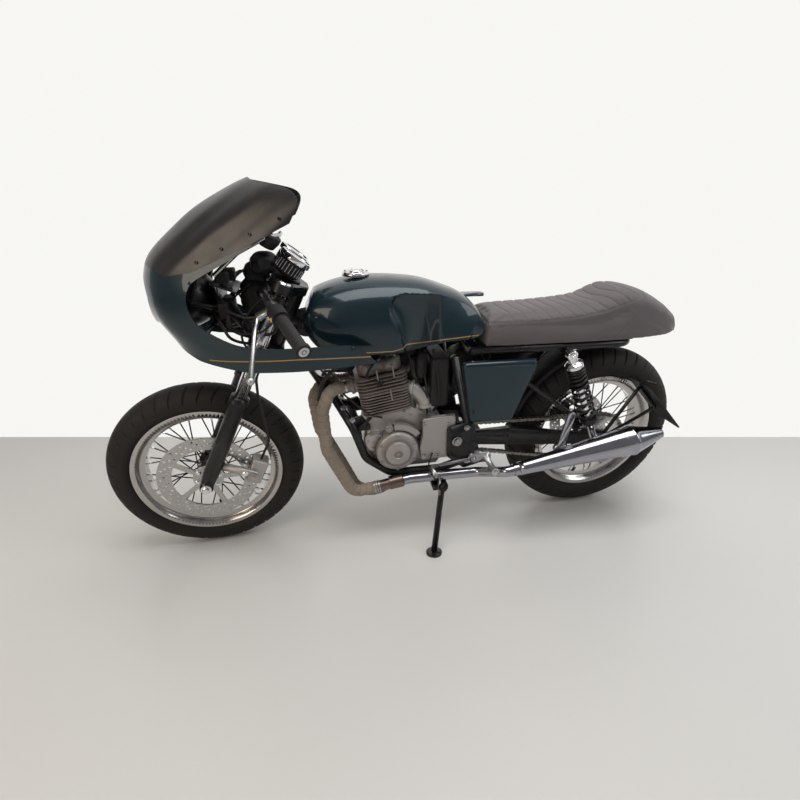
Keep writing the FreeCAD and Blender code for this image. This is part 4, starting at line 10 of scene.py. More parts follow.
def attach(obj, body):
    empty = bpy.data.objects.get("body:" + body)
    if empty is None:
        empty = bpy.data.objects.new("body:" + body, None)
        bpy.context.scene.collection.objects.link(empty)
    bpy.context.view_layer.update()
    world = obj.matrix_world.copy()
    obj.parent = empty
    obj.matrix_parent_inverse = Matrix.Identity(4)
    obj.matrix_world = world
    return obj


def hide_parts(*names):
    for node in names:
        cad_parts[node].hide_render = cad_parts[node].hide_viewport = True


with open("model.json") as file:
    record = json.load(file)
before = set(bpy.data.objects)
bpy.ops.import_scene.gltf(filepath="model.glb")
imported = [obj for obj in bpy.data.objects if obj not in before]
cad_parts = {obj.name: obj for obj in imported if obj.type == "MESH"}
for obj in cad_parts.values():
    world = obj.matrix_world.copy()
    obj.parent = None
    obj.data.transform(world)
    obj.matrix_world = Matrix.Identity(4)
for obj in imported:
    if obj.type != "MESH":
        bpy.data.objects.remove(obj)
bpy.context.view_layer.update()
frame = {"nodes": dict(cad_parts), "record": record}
NODES = frame["nodes"]
JOINTS = {joint["name"]: joint for joint in frame["record"]["behaviour"]["joints"]}

# The machine's own sizes in metres and radians, as built
WHEELBASE = 1.362
REAR_TYRE_RADIUS = 0.322
FRONT_TYRE_RADIUS = 0.301
RAKE = math.radians(26)
TRAIL = 0.095
STEER = math.radians(4.6)

# The photograph's camera, in the row frame
CAMERA_PLACE = Vector((-0.2936, -1.3281, 0.8977))
CAMERA_YAW = math.radians(9.85)
CAMERA_PITCH = math.radians(16.4)
CAMERA_ROLL = math.radians(1.25)
CAMERA_FOCUS_SHARE = 0.539
SENSOR_WIDTH = 36.0
WALL_DISTANCE = 2.298
WALL_YAW = math.radians(13.27)
SMOOTH_ANGLE = math.radians(32)


# The upright machine's frame, worked out from the joints

def bike_matrix():
    """From the upright machine, X rearward from the front wheel's contact and Z up, to the row frame."""
    across = Vector(JOINTS["rear_wheel_spin"]["axis"]).normalized()
    up_fork = Vector(JOINTS["steering"]["axis"]).normalized()
    behind_fork = across.cross(up_fork).normalized()
    rearward = up_fork * math.sin(RAKE) + behind_fork * math.cos(RAKE)
    up = up_fork * math.cos(RAKE) - behind_fork * math.sin(RAKE)
    turn = Matrix((rearward, across, up)).transposed().to_4x4()
    axle = Vector(JOINTS["rear_wheel_spin"]["pos_m"])
    corner = axle - turn.to_3x3() @ Vector((WHEELBASE, 0, REAR_TYRE_RADIUS))
    return Matrix.Translation(corner) @ turn


BIKE = bike_matrix()
STEERING_FOOT = Vector((-TRAIL, 0, 0))
UP_FORK = Vector((math.sin(RAKE), 0, math.cos(RAKE)))
STEERED = (BIKE @ Matrix.Translation(STEERING_FOOT) @ Matrix.Rotation(STEER, 4, UP_FORK)
           @ Matrix.Translation(-STEERING_FOOT))


def on_bike(x, y, z):
    """A point of the upright machine, in millimetres, in the row frame."""
    return BIKE @ (Vector((x, y, z)) / 1000)


# Meshes and objects

def put_in_scene(name, data):
    """A new object of the scene that holds a mesh, a camera or a lamp."""
    piece = bpy.data.objects.new(name, data)
    bpy.context.scene.collection.objects.link(piece)
    return piece


def soften(mesh):
    """Shades a mesh smooth but for its hard edges."""
    mesh.shade_smooth()
    mesh.set_sharp_from_angle(angle=SMOOTH_ANGLE)


def evaluated(piece):
    """The mesh that the modifiers of a piece give."""
    bpy.context.view_layer.update()
    return bpy.data.meshes.new_from_object(piece.evaluated_get(bpy.context.evaluated_depsgraph_get()))


# Shader sums

class Wire:
    """A shader socket that can be multiplied and compared."""

    def __init__(self, finish, socket):
        self.finish = finish
        self.socket = socket

    def sum(self, operation, first, second):
        return self.finish.add("ShaderNodeMath", {"operation": operation}, {0: first, 1: second})

    def __mul__(self, other):
        return self.sum("MULTIPLY", self, other)

    def __lt__(self, other):
        return self.sum("LESS_THAN", self, other)

    def __gt__(self, other):
        return self.sum("GREATER_THAN", self, other)


class Finish:
    """A material whose nodes are added by kind, settings and inputs."""

    def __init__(self, name):
        self.material = bpy.data.materials.new(name)
        self.material.use_nodes = True
        self.tree = self.material.node_tree
        self.tree.nodes.clear()
        self.surface = self.tree.nodes.new("ShaderNodeOutputMaterial")

    def node(self, kind, settings, inputs):
        made = self.tree.nodes.new(kind)
        for key, value in settings.items():
            if key == "stops":
                self.set_stops(made.color_ramp, value)
            else:
                setattr(made, key, value)
        for key, value in inputs.items():
            if isinstance(value, Wire):
                self.tree.links.new(value.socket, made.inputs[key])
            else:
                made.inputs[key].default_value = value
        return made

    def add(self, kind, settings, inputs, output=0):
        return Wire(self, self.node(kind, settings, inputs).outputs[output])

    def set_stops(self, ramp, stops):
        while len(ramp.elements) > 1:
            ramp.elements.remove(ramp.elements[-1])
        for index, (place, colour) in enumerate(stops):
            element = ramp.elements[0] if index == 0 else ramp.elements.new(place)
            element.position = place
            element.color = colour

    def place(self, matrix=None):
        """Object coordinates, in the upright machine's frame where a matrix is given."""
        point = self.add("ShaderNodeTexCoord", {}, {}, "Object")
        if matrix is not None:
            offset, turn, _ = matrix.inverted().decompose()
            point = self.add("ShaderNodeMapping", {"vector_type": "POINT"},
                             {"Vector": point, "Location": offset, "Rotation": turn.to_euler()})
        return point

    def noise(self, point, scale, detail=3.0, rough=0.5):
        return self.add("ShaderNodeTexNoise", {}, {"Vector": point, "Scale": scale, "Detail": detail,
                                                   "Roughness": rough})

    def ramp(self, value, stops):
        return self.add("ShaderNodeValToRGB", {"stops": stops}, {"Fac": value})

    def blend(self, share, first, second):
        node = self.node("ShaderNodeMix", {"data_type": "RGBA"}, {})
        for index, value in ((0, share), (6, first), (7, second)):
            if isinstance(value, Wire):
                self.tree.links.new(value.socket, node.inputs[index])
            else:
                node.inputs[index].default_value = value
        return Wire(self, node.outputs[2])

    def bump(self, height, strength, distance, normal=None):
        inputs = {"Height": height, "Strength": strength, "Distance": distance}
        if normal is not None:
            inputs["Normal"] = normal
        return self.add("ShaderNodeBump", {}, inputs)

    def shade(self, **inputs):
        """Ends the material in one principled surface; underscores in names stand for spaces."""
        named = {key.replace("_", " "): value for key, value in inputs.items()}
        shader = self.add("ShaderNodeBsdfPrincipled", {}, named)
        self.tree.links.new(shader.socket, self.surface.inputs["Surface"])
        return self.material


def grey(value):
    return (value, value, value, 1)


def spread(value, around):
    """Two ramp stops that turn noise into a narrow band of greys around a value."""
    return [(0.3, grey(value - around)), (0.7, grey(value + around))]


# Finishes

STRIPE_HALF = 0.0016
# The gold line: (along, height) in metres of the upright machine
FAIRING_STRIPE = ((0.098, 0.7235), (0.2, 0.7255), (0.332, 0.727), (0.45, 0.7235), (0.56, 0.718))
TANK_STRIPE = ((0.45, 0.713), (0.595, 0.713), (0.615, 0.719), (0.64, 0.7275), (0.704, 0.731), (0.86, 0.74))


def body_paint(name="body_paint", stripe=()):
    """Deep blue green lacquer with a fine metallic fleck and, where given, a gold line along the machine."""
    finish = Finish(name)
    point = finish.place()
    fleck = finish.add("ShaderNodeTexVoronoi", {}, {"Vector": point, "Scale": 2600.0}, "Color")
    tone = finish.add("ShaderNodeSeparateColor", {}, {"Color": fleck})
    cloud = finish.noise(point, 5.0)
    base = finish.blend(cloud, (0.003, 0.012, 0.018, 1), (0.005, 0.019, 0.028, 1))
    colour = finish.blend(tone * 0.12, base, (0.04, 0.105, 0.14, 1))
    if stripe:
        split = finish.node("ShaderNodeSeparateXYZ", {}, {"Vector": finish.place(matrix=BIKE)})
        along, height = (Wire(finish, split.outputs[name]) for name in ("X", "Z"))
        middle = finish.ramp(along, [(x, grey(z)) for x, z in stripe])
        near = finish.add("ShaderNodeMath", {"operation": "COMPARE"}, {0: height, 1: middle, 2: STRIPE_HALF})
        ends = (along > stripe[0][0]) * (along < stripe[-1][0])
        colour = finish.blend(near * ends, colour, (0.42, 0.24, 0.07, 1))
    dust = finish.noise(point, 26.0, 6.0)
    return finish.shade(Base_Color=colour, Metallic=0.35, Roughness=finish.ramp(dust, spread(0.33, 0.05)),
                        Specular_IOR_Level=0.25, Coat_Weight=0.6, Coat_Roughness=0.04)


def black_enamel(name="black_enamel", colour=(0.005, 0.005, 0.0055, 1), rough=0.32):
    """Frame enamel with faint orange peel and dull patches."""
    finish = Finish(name)
    point = finish.place()
    patches = finish.noise(point, 14.0, 5.0)
    peel = finish.noise(point, 420.0, 2.0)
    tone = finish.blend(patches, colour, tuple(c * 1.8 + 0.001 for c in colour[:3]) + (1,))
    return finish.shade(Base_Color=tone, Roughness=finish.ramp(patches, spread(rough, 0.1)),
                        Normal=finish.bump(peel, 0.08, 0.0006), Specular_IOR_Level=0.3, Coat_Weight=0.12,
                        Coat_Roughness=0.15)


def moulded_black(name="moulded_black", colour=(0.008, 0.008, 0.0085, 1), rough=0.55, grain=900.0):
    """Matt moulded plastic or rubber with a fine grain."""
    finish = Finish(name)
    point = finish.place()
    pores = finish.add("ShaderNodeTexVoronoi", {}, {"Vector": point, "Scale": grain}, "Distance")
    dust = finish.noise(point, 22.0, 5.0)
    tone = finish.blend(dust, colour, tuple(c * 1.7 + 0.002 for c in colour[:3]) + (1,))
    return finish.shade(Base_Color=tone, Roughness=finish.ramp(dust, spread(rough, 0.08)),
                        Normal=finish.bump(pores, 0.12, 0.0005), Specular_IOR_Level=0.35)


def screen_black():
    """Satin black sheet with long shallow waves that run back from the nose."""
    finish = Finish("screen_black")
    point = finish.place()
    lengthwise = finish.add("ShaderNodeMapping", {"vector_type": "TEXTURE"},
                            {"Vector": point, "Rotation": (0, -0.6, 0), "Scale": (0.9, 0.22, 0.11)})
    waves = finish.noise(lengthwise, 1.5, 1.0)
    pores = finish.add("ShaderNodeTexVoronoi", {}, {"Vector": point, "Scale": 1500.0}, "Distance")
    dust = finish.noise(point, 18.0, 6.0)
    tone = finish.blend(dust, (0.011, 0.010, 0.0105, 1), (0.02, 0.017, 0.017, 1))
    return finish.shade(Base_Color=tone, Roughness=finish.ramp(dust, spread(0.33, 0.05)),
                        Specular_IOR_Level=0.5,
                        Normal=finish.bump(waves, 0.5, 0.03, finish.bump(pores, 0.08, 0.0004)))


def cast_alloy(name="cast_alloy", low=(0.27, 0.25, 0.235, 1), high=(0.42, 0.4, 0.38, 1), rough=0.42):
    """Painted sand casting, worn paler on its edges and faintly stained."""
    finish = Finish(name)
    point = finish.place()
    grain = finish.noise(point, 700.0, 3.0)
    stain = finish.noise(point, 16.0, 6.0, 0.65)
    hollow = finish.add("ShaderNodeNewGeometry", {}, {}, "Pointiness")
    worn = finish.ramp(hollow, [(0.46, grey(0)), (0.53, grey(1))])
    tone = finish.blend(stain, low, high)
    colour = finish.blend(worn * 0.5, tone, (0.5, 0.48, 0.46, 1))
    return finish.shade(Base_Color=colour, Metallic=0.55, Roughness=finish.ramp(stain, spread(rough, 0.1)),
                        Normal=finish.bump(grain, 0.25, 0.0004))


def finned_alloy():
    """Brownish cast fins, pale on their open edges, with painted shade that darkens the gaps between them."""
    finish = Finish("finned_alloy")
    point = finish.place()
    grain = finish.noise(point, 700.0, 3.0)
    stain = finish.noise(point, 18.0, 6.0, 0.65)
    # Painted shade: ambient occlusion darkens the gaps between the fins to near black, where shade falls.
    depth = finish.add("ShaderNodeAmbientOcclusion", {"samples": 8, "only_local": True},
                       {"Distance": 0.012}, "AO")
    unshaded_share = finish.ramp(depth, [(0.35, grey(0)), (0.8, grey(1))])
    tone = finish.blend(stain, (0.17, 0.135, 0.12, 1), (0.3, 0.265, 0.245, 1))
    colour = finish.blend(unshaded_share, (0.02, 0.0145, 0.012, 1), tone)
    return finish.shade(Base_Color=colour, Metallic=0.4, Roughness=finish.ramp(stain, spread(0.46, 0.08)),
                        Normal=finish.bump(grain, 0.25, 0.0004))


def polished_alloy(name="polished_alloy", colour=(0.66, 0.66, 0.67, 1), rough=0.2):
    """Polished alloy with fine marks and a soft haze."""
    finish = Finish(name)
    point = finish.place()
    haze = finish.noise(point, 35.0, 5.0)
    marks = finish.noise(point, 900.0, 2.0)
    return finish.shade(Base_Color=finish.blend(haze, tuple(c * 0.86 for c in colour[:3]) + (1,), colour),
                        Metallic=1.0, Roughness=finish.ramp(haze, spread(rough, 0.07)),
                        Normal=finish.bump(marks, 0.05, 0.0002))


def chrome():
    """Bright plating with faint wipe marks."""
    finish = Finish("chrome")
    point = finish.place()
    wipe = finish.noise(point, 40.0, 6.0)
    return finish.shade(Base_Color=finish.blend(wipe, (0.72, 0.72, 0.74, 1), (0.84, 0.84, 0.85, 1)),
                        Metallic=1.0, Roughness=finish.ramp(wipe, spread(0.09, 0.04)))


def disc_steel():
    """Ground steel with a fine grain."""
    finish = Finish("disc_steel")
    point = finish.place()
    grind = finish.noise(point, 300.0, 4.0)
    return finish.shade(Base_Color=finish.blend(grind, (0.36, 0.35, 0.34, 1), (0.58, 0.57, 0.56, 1)),
                        Metallic=1.0, Roughness=finish.ramp(grind, spread(0.3, 0.08)),
                        Normal=finish.bump(grind, 0.1, 0.0003))


def tyre_rubber():
    """Tyre rubber, slightly brown and dusty."""
    finish = Finish("tyre_rubber")
    point = finish.place()
    dust = finish.noise(point, 12.0, 6.0)
    pores = finish.noise(point, 600.0, 3.0)
    return finish.shade(Base_Color=finish.blend(dust, (0.007, 0.006, 0.0058, 1), (0.019, 0.0155, 0.0135, 1)),
                        Roughness=finish.ramp(dust, spread(0.66, 0.08)),
                        Normal=finish.bump(pores, 0.15, 0.0005), Specular_IOR_Level=0.3)


def seat_hide():
    """Dark grey seat hide with a fine pebbled grain."""
    finish = Finish("seat_hide")
    point = finish.place()
    pebbles = finish.add("ShaderNodeTexVoronoi", {"feature": "SMOOTH_F1"}, {"Vector": point, "Scale": 520.0},
                         "Distance")
    cloud = finish.noise(point, 9.0, 5.0)
    return finish.shade(Base_Color=finish.blend(cloud, (0.075, 0.066, 0.07, 1), (0.12, 0.105, 0.11, 1)),
                        Roughness=finish.ramp(cloud, spread(0.62, 0.06)),
                        Normal=finish.bump(pebbles, 0.3, 0.0006), Sheen_Weight=0.25, Sheen_Roughness=0.4)


def heat_wrap():
    """Woven heat wrap, sandy, with darker scorched stretches."""
    finish = Finish("heat_wrap")
    point = finish.place()
    weave = finish.add("ShaderNodeTexWave", {"wave_type": "BANDS", "bands_direction": "DIAGONAL"},
                       {"Vector": point, "Scale": 240.0, "Distortion": 1.0})
    scorch = finish.noise(point, 11.0, 5.0)
    tone = finish.blend(scorch, (0.2, 0.165, 0.13, 1), (0.4, 0.34, 0.275, 1))
    return finish.shade(Base_Color=finish.blend(weave * 0.35, tone, (0.13, 0.105, 0.085, 1)), Roughness=0.9,
                        Normal=finish.bump(weave, 0.5, 0.0012))


def lamp_glass():
    """Bright fluted lamp glass under a clear coat."""
    finish = Finish("lamp_glass")
    point = finish.place()
    flutes = finish.add("ShaderNodeTexWave", {"wave_type": "BANDS", "bands_direction": "Y"},
                        {"Vector": point, "Scale": 45.0})
    return finish.shade(Base_Color=(0.8, 0.82, 0.84, 1), Roughness=0.06, Metallic=0.6, IOR=1.5,
                        Normal=finish.bump(flutes, 0.3, 0.001), Coat_Weight=1.0, Coat_Roughness=0.02)


def dial_face():
    """A plain black dial, slightly dusty, under a clear coat."""
    finish = Finish("dial_face")
    point = finish.place()
    dust = finish.noise(point, 60.0, 4.0)
    return finish.shade(Base_Color=finish.blend(dust, (0.008, 0.008, 0.009, 1), (0.02, 0.02, 0.021, 1)),
                        Roughness=finish.ramp(dust, spread(0.12, 0.04)), Coat_Weight=1.0, Coat_Roughness=0.02)


def signal_yellow():
    """Bright moulded plastic with a little dust."""
    finish = Finish("signal_yellow")
    dust = finish.noise(finish.place(), 90.0, 4.0)
    return finish.shade(Base_Color=finish.blend(dust, (0.62, 0.44, 0.02, 1), (0.8, 0.6, 0.04, 1)),
                        Roughness=finish.ramp(dust, spread(0.4, 0.05)))


DIAL = dial_face()
SIGNAL_YELLOW = signal_yellow()
BODY_PAINT = body_paint()
TANK_PAINT = body_paint("tank_paint", TANK_STRIPE)
FAIRING_PAINT = body_paint("fairing_paint", FAIRING_STRIPE)
ENAMEL = black_enamel()
PLASTIC = moulded_black()
SCREEN = screen_black()
GRIP_RUBBER = moulded_black("grip_rubber", (0.011, 0.0105, 0.0105, 1), 0.6, 700.0)
ALLOY = cast_alloy()
COVER_ALLOY = cast_alloy("cover_alloy", (0.15, 0.135, 0.13, 1), (0.22, 0.2, 0.192, 1), 0.38)
FIN_ALLOY = finned_alloy()
DARK_ALLOY = cast_alloy("dark_alloy", (0.05, 0.046, 0.043, 1), (0.12, 0.11, 0.105, 1), 0.45)
SILENCER_CHROME = polished_alloy("silencer_chrome", (0.4, 0.4, 0.44, 1), 0.14)
SCORCHED = polished_alloy("scorched_steel", (0.2, 0.15, 0.13, 1), 0.3)
RIM_ALLOY = polished_alloy(colour=(0.52, 0.5, 0.48, 1))
LEVER_ALLOY = polished_alloy("lever_alloy", (0.55, 0.55, 0.56, 1), 0.32)
CHROME = chrome()
DISC = disc_steel()
TYRE = tyre_rubber()
HIDE = seat_hide()
WRAP = heat_wrap()
LAMP = lamp_glass()
CHAIN = polished_alloy("chain_steel", (0.22, 0.21, 0.19, 1), 0.4)
BOLT = polished_alloy("bolt_steel", (0.34, 0.33, 0.33, 1), 0.28)
CALIPER = black_enamel("caliper_black", (0.02, 0.02, 0.021, 1), 0.45)

NODE_FINISHES = {
    "frame_spine": ENAMEL, "frame_cradle": ENAMEL, "pivot_plates": ENAMEL, "seat_rails": ENAMEL,
    "crankcase": ALLOY, "cylinder_barrel": FIN_ALLOY, "cylinder_head": FIN_ALLOY,
    "generator_cover": COVER_ALLOY, "clutch_cover": COVER_ALLOY, "sprocket_cover": COVER_ALLOY,
    "carburettor": DARK_ALLOY, "air_box": PLASTIC, "silencer": SILENCER_CHROME, "tank": TANK_PAINT,
    "fuel_cap": CHROME, "side_covers": BODY_PAINT, "fairing": FAIRING_PAINT, "screen": SCREEN,
    "headlamp": LAMP, "swingarm": ENAMEL, "plate_carrier": ENAMEL, "number_plate": PLASTIC,
    "footrests": LEVER_ALLOY, "rear_caliper": CALIPER, "horn": CHROME, "fork_lowers": ENAMEL,
    "stanchions": CHROME, "yokes": ENAMEL, "clip_ons": ENAMEL, "grips": GRIP_RUBBER,
    "switch_blocks": PLASTIC, "levers": LEVER_ALLOY, "gauges": PLASTIC, "brake_hose": GRIP_RUBBER,
    "front_caliper": ALLOY, "front_rim": RIM_ALLOY, "front_hub": ENAMEL, "front_disc": DISC,
    "rear_rim": RIM_ALLOY, "rear_hub": ENAMEL, "rear_disc": DISC, "rear_sprocket": DISC,
    "side_stand": ENAMEL,
}


def body_of(node):
    bodies = frame["record"]["behaviour"]["bodies"]
    return next(name for name, nodes in bodies.items() if node in nodes)


def smooth_copy(node, material):
    """A copy of a node with its corners merged and its curved faces shaded smooth."""
    work = bmesh.new()
    work.from_mesh(NODES[node].data)
    bmesh.ops.remove_doubles(work, verts=work.verts, dist=0.00001)
    mesh = bpy.data.meshes.new(node + "_skin")
    work.to_mesh(mesh)
    work.free()
    mesh.materials.clear()
    mesh.materials.append(material)
    soften(mesh)
    piece = put_in_scene(node + "_skin", mesh)
    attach(piece, body_of(node))
    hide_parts(node)
    return piece


SKINS = {node: smooth_copy(node, material) for node, material in NODE_FINISHES.items()}


# Seat cover

SEAT_FRONT = 886
SEAT_END = 1603
SEAT_FOOT = 700.3
SEAT_RISE = 161.7
SEAT_HALF = 114
# Where the cross seams meet the crest, how deep seams and their hollows are drawn in, and how far
# a cross seam runs back at its ends, at the first seam and in growth to the last
SEAM_CRESTS = (949, 987, 1025, 1058, 1094, 1131, 1165, 1197, 1228, 1259, 1292, 1334)
SEAM_DEPTH = 3.4
SEAM_REACH = 11
SEAM_SWEEP = 26
SEAM_SWEEP_GROWTH = 44
# The side seam as (along, height), and the slanting seam before the tail as (height, along)
WELT = ((886, 774), (1060, 776), (1180, 783), (1260, 797), (1330, 818), (1420, 850))
SLANT = ((700, 1300), (735, 1327), (760, 1350), (800, 1378), (835, 1400), (880, 1410))
SLANT_FOOT = 716
WELT_DEPTH = 1.5
WELT_REACH = 4
COVER_SHRINK = 3.0
COVER_CELL = 0.0055
COVER_HOLD = 12
COVER_PRESSURE = 4
COVER_FRAMES = 20
PUFF_LIMIT = 0.006
# Along the seat:
# (share of length, share of half width, share of rise at the side seam, share of rise at the crest)
SEAT_SHARES = ((0.0, 0.93, 0.42, 0.57), (0.1, 0.96, 0.44, 0.62), (0.24, 0.98, 0.45, 0.65),
               (0.37, 1.0, 0.455, 0.7), (0.46, 1.0, 0.48, 0.745), (0.51, 1.0, 0.52, 0.79),
               (0.56, 1.0, 0.59, 0.89), (0.61, 0.99, 0.67, 0.985), (0.67, 0.97, 0.7, 1.0),
               (0.735, 0.93, 0.64, 0.955), (0.8, 0.87, 0.54, 0.83), (0.87, 0.77, 0.42, 0.665),
               (0.94, 0.6, 0.28, 0.45), (1.0, 0.3, 0.14, 0.15))


def eased(table, place):
    """A row of a table of shares, eased between its neighbours."""
    for before, after in zip(table, table[1:]):
        if place <= after[0]:
            break
    share = min(1, max(0, (place - before[0]) / (after[0] - before[0])))
    return [a + (b - a) * share for a, b in zip(before, after)]


def seat_point(along, around):
    """A point of the cover, along from the front and around from left foot over the crest to right foot."""
    _, wide, welt, crest = eased(SEAT_SHARES, along)
    half = SEAT_HALF * wide
    x = SEAT_FRONT + (SEAT_END - SEAT_FRONT) * along
    side = -1 if around < 0.5 else 1
    reach = abs(around - 0.5) * 2
    if reach > 0.7:
        drop = (reach - 0.7) / 0.3
        return x, side * half * (1 - 0.03 * drop), SEAT_FOOT + SEAT_RISE * welt * (1 - drop)
    turn = reach / 0.7
    across = half * math.sin(turn * math.pi / 2) ** 0.9
    height = welt + (crest - welt) * (1 - turn ** 2.4)
    return x, side * across, SEAT_FOOT + SEAT_RISE * height


def crossing(line, place):
    """The height of a line of points at a place along it."""
    for before, after in zip(line, line[1:]):
        if place <= after[0]:
            break
    share = min(1, max(0, (place - before[0]) / (after[0] - before[0])))
    return before[1] + (after[1] - before[1]) * share


def drawn_in(x, y, z):
    """How far the seams pull the cover in at a point of the upright machine."""
    pull = 0.0
    welt = crossing(WELT, x)
    slant = crossing(SLANT, z)
    if x < slant:
        pull = WELT_DEPTH * max(0, 1 - abs(z - welt) / WELT_REACH)
    if z > SLANT_FOOT:
        pull = max(pull, WELT_DEPTH * max(0, 1 - abs(x - slant) / WELT_REACH))
    if z > welt - 1 and x < slant:
        fall = min(1, abs(y) / SEAT_HALF) ** 2.2
        for crest in SEAM_CRESTS:
            share = (crest - SEAM_CRESTS[0]) / (SEAM_CRESTS[-1] - SEAM_CRESTS[0])
            gap = abs(x - crest - (SEAM_SWEEP + SEAM_SWEEP_GROWTH * share) * fall)
            if gap < SEAM_REACH:
                fade = min(1, (z - welt + 1) / 8, (slant - x) / 8)
                pull = max(pull, fade * (SEAM_DEPTH * 0.55 * (1 - gap / SEAM_REACH) ** 2
                                         + SEAM_DEPTH * 0.45 * max(0, 1 - gap / 2.6)))
    return pull


def seat_grid():
    """The cover's outline as a closed skin, row by row along the seat."""
    rows, columns = 150, 72
    work = bmesh.new()
    grid = [[work.verts.new(on_bike(*seat_point(row / rows, column / columns)))
             for column in range(columns + 1)] for row in range(rows + 1)]
    for row in range(rows):
        for column in range(columns):
            work.faces.new((grid[row][column], grid[row][column + 1], grid[row + 1][column + 1],
                            grid[row + 1][column]))
        work.faces.new((grid[row][columns], grid[row][0], grid[row + 1][0], grid[row + 1][columns]))
    work.faces.new(reversed(grid[0]))
    work.faces.new(grid[rows])
    bmesh.ops.recalc_face_normals(work, faces=work.faces)
    bmesh.ops.triangulate(work, faces=[face for face in work.faces if len(face.verts) > 4])
    mesh = bpy.data.meshes.new("seat_cover")
    work.to_mesh(mesh)
    work.free()
    return put_in_scene("seat_cover", mesh)


def settle(piece):
    """Keeps the mesh that the modifiers of a piece give, without the modifiers."""
    whole = evaluated(piece)
    piece.modifiers.clear()
    piece.data = whole


def pull_in(piece, depth):
    """Moves each point inwards along its normal by depth, which may depend on its place on the machine."""
    back = BIKE.inverted()
    mesh = piece.data
    moves = []
    for vert in mesh.vertices:
        x, y, z = back @ vert.co * 1000
        moves.append(vert.normal * (depth(x, y, z) if callable(depth) else depth) / 1000)
    for vert, move in zip(mesh.vertices, moves):
        vert.co -= move
    mesh.update()


def puff_cover(piece):
    """Blows the cover up as cloth held at its foot; no point moves further than the limit."""
    remesh = piece.modifiers.new("cells", "REMESH")
    remesh.mode = "VOXEL"
    remesh.voxel_size = COVER_CELL
    settle(piece)
    start = [vert.co.copy() for vert in piece.data.vertices]
    back = BIKE.inverted()
    held = piece.vertex_groups.new(name="held")
    held.add([vert.index for vert in piece.data.vertices
              if (back @ vert.co).z * 1000 < SEAT_FOOT + COVER_HOLD], 1.0, "REPLACE")
    cloth = piece.modifiers.new("cloth", "CLOTH")
    cloth.settings.vertex_group_mass = "held"
    cloth.settings.use_pressure = True
    cloth.settings.uniform_pressure_force = COVER_PRESSURE
    cloth.settings.effector_weights.gravity = 0
    cloth.point_cache.frame_start = 1
    cloth.point_cache.frame_end = COVER_FRAMES
    for frame_number in range(1, COVER_FRAMES + 1):
        bpy.context.scene.frame_set(frame_number)
    settle(piece)
    bpy.context.scene.frame_set(1)
    for vert, place in zip(piece.data.vertices, start):
        move = vert.co - place
        if move.length > PUFF_LIMIT:
            vert.co = place + move.normalized() * PUFF_LIMIT
    finer = piece.modifiers.new("finer", "SUBSURF")
    finer.levels = 1
    settle(piece)


def seat_cover():
    """The seat's cover, blown up as cloth, with its seams drawn in afterwards."""
    piece = seat_grid()
    pull_in(piece, COVER_SHRINK)
    puff_cover(piece)
    pull_in(piece, drawn_in)
    piece.vertex_groups.clear()
    piece.data.materials.clear()
    piece.data.materials.append(HIDE)
    piece.data.shade_smooth()
    return piece


SEAT_COVER = seat_cover()
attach(SEAT_COVER, "chassis")
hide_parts("seat")


# Forms

# Steps of a flowing line from one point to the next
FLOW_STEPS = 8


class Form:
    """A piece under way, in millimetres of the upright machine or of its steered fork."""

    def __init__(self, name, material, matrix=BIKE):
        self.name = name
        self.material = material
        self.matrix = matrix @ Matrix.Scale(0.001, 4)
        self.work = bmesh.new()

    def skin(self, rings, closed=False):
        """Faces between neighbouring rings of points, with flat caps at open ends."""
        made = [[self.work.verts.new(point) for point in ring] for ring in rings]
        pairs = list(zip(made, made[1:])) + ([(made[-1], made[0])] if closed else [])
        count = len(made[0])
        for first, second in pairs:
            for index in range(count):
                beside = (index + 1) % count
                self.work.faces.new((first[index], first[beside], second[beside], second[index]))
        if not closed:
            self.work.faces.new(made[0])
            self.work.faces.new(made[-1])

    def turned(self, start, axis, profile, sides=32):
        """A turned form from (distance along, radius) pairs."""
        axis = Vector(axis).normalized()
        aside = axis.orthogonal().normalized()
        other = axis.cross(aside)
        spokes = [aside * math.cos(turn) + other * math.sin(turn)
                  for turn in (math.tau * side / sides for side in range(sides))]
        self.skin([[Vector(start) + axis * along + spoke * max(radius, 0.02) for spoke in spokes]
                   for along, radius in profile])

    def tube(self, points, radius, sides=10):
        """A tube through points; the radius may depend on the distance run and the turn round the tube."""
        points = [Vector(point) for point in points]
        rings = []
        normal = None
        run = 0
        for index, point in enumerate(points):
            ahead = points[index + 1] if index + 1 < len(points) else point
            behind = points[index - 1] if index > 0 else point
            tangent = (ahead - behind).normalized()
            normal = tangent.orthogonal() if normal is None else normal - tangent * normal.dot(tangent)
            normal.normalize()
            other = tangent.cross(normal)
            run += (point - behind).length if index else 0
            ring = []
            for side in range(sides):
                turn = math.tau * side / sides
                reach = radius(run, turn) if callable(radius) else radius
                ring.append(point + (normal * math.cos(turn) + other * math.sin(turn)) * reach)
            rings.append(ring)
        self.skin(rings)

    def slab(self, corners, thickness):
        """A flat plate from its corners, thickened both ways along its normal."""
        corners = [Vector(corner) for corner in corners]
        normal = (corners[1] - corners[0]).cross(corners[2] - corners[1]).normalized() * (thickness / 2)
        self.skin([[corner - normal for corner in corners], [corner + normal for corner in corners]])

    def done(self, body, *nodes):
        """Ends the piece as an object of the row frame that rides a body and replaces the given nodes."""
        bmesh.ops.recalc_face_normals(self.work, faces=self.work.faces)
        self.work.transform(self.matrix)
        mesh = bpy.data.meshes.new(self.name)
        self.work.to_mesh(mesh)
        self.work.free()
        mesh.materials.append(self.material)
        soften(mesh)
        piece = bpy.data.objects.new(self.name, mesh)
        if body:
            bpy.context.scene.collection.objects.link(piece)
            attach(piece, body)
        if nodes:
            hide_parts(*nodes)
        return piece


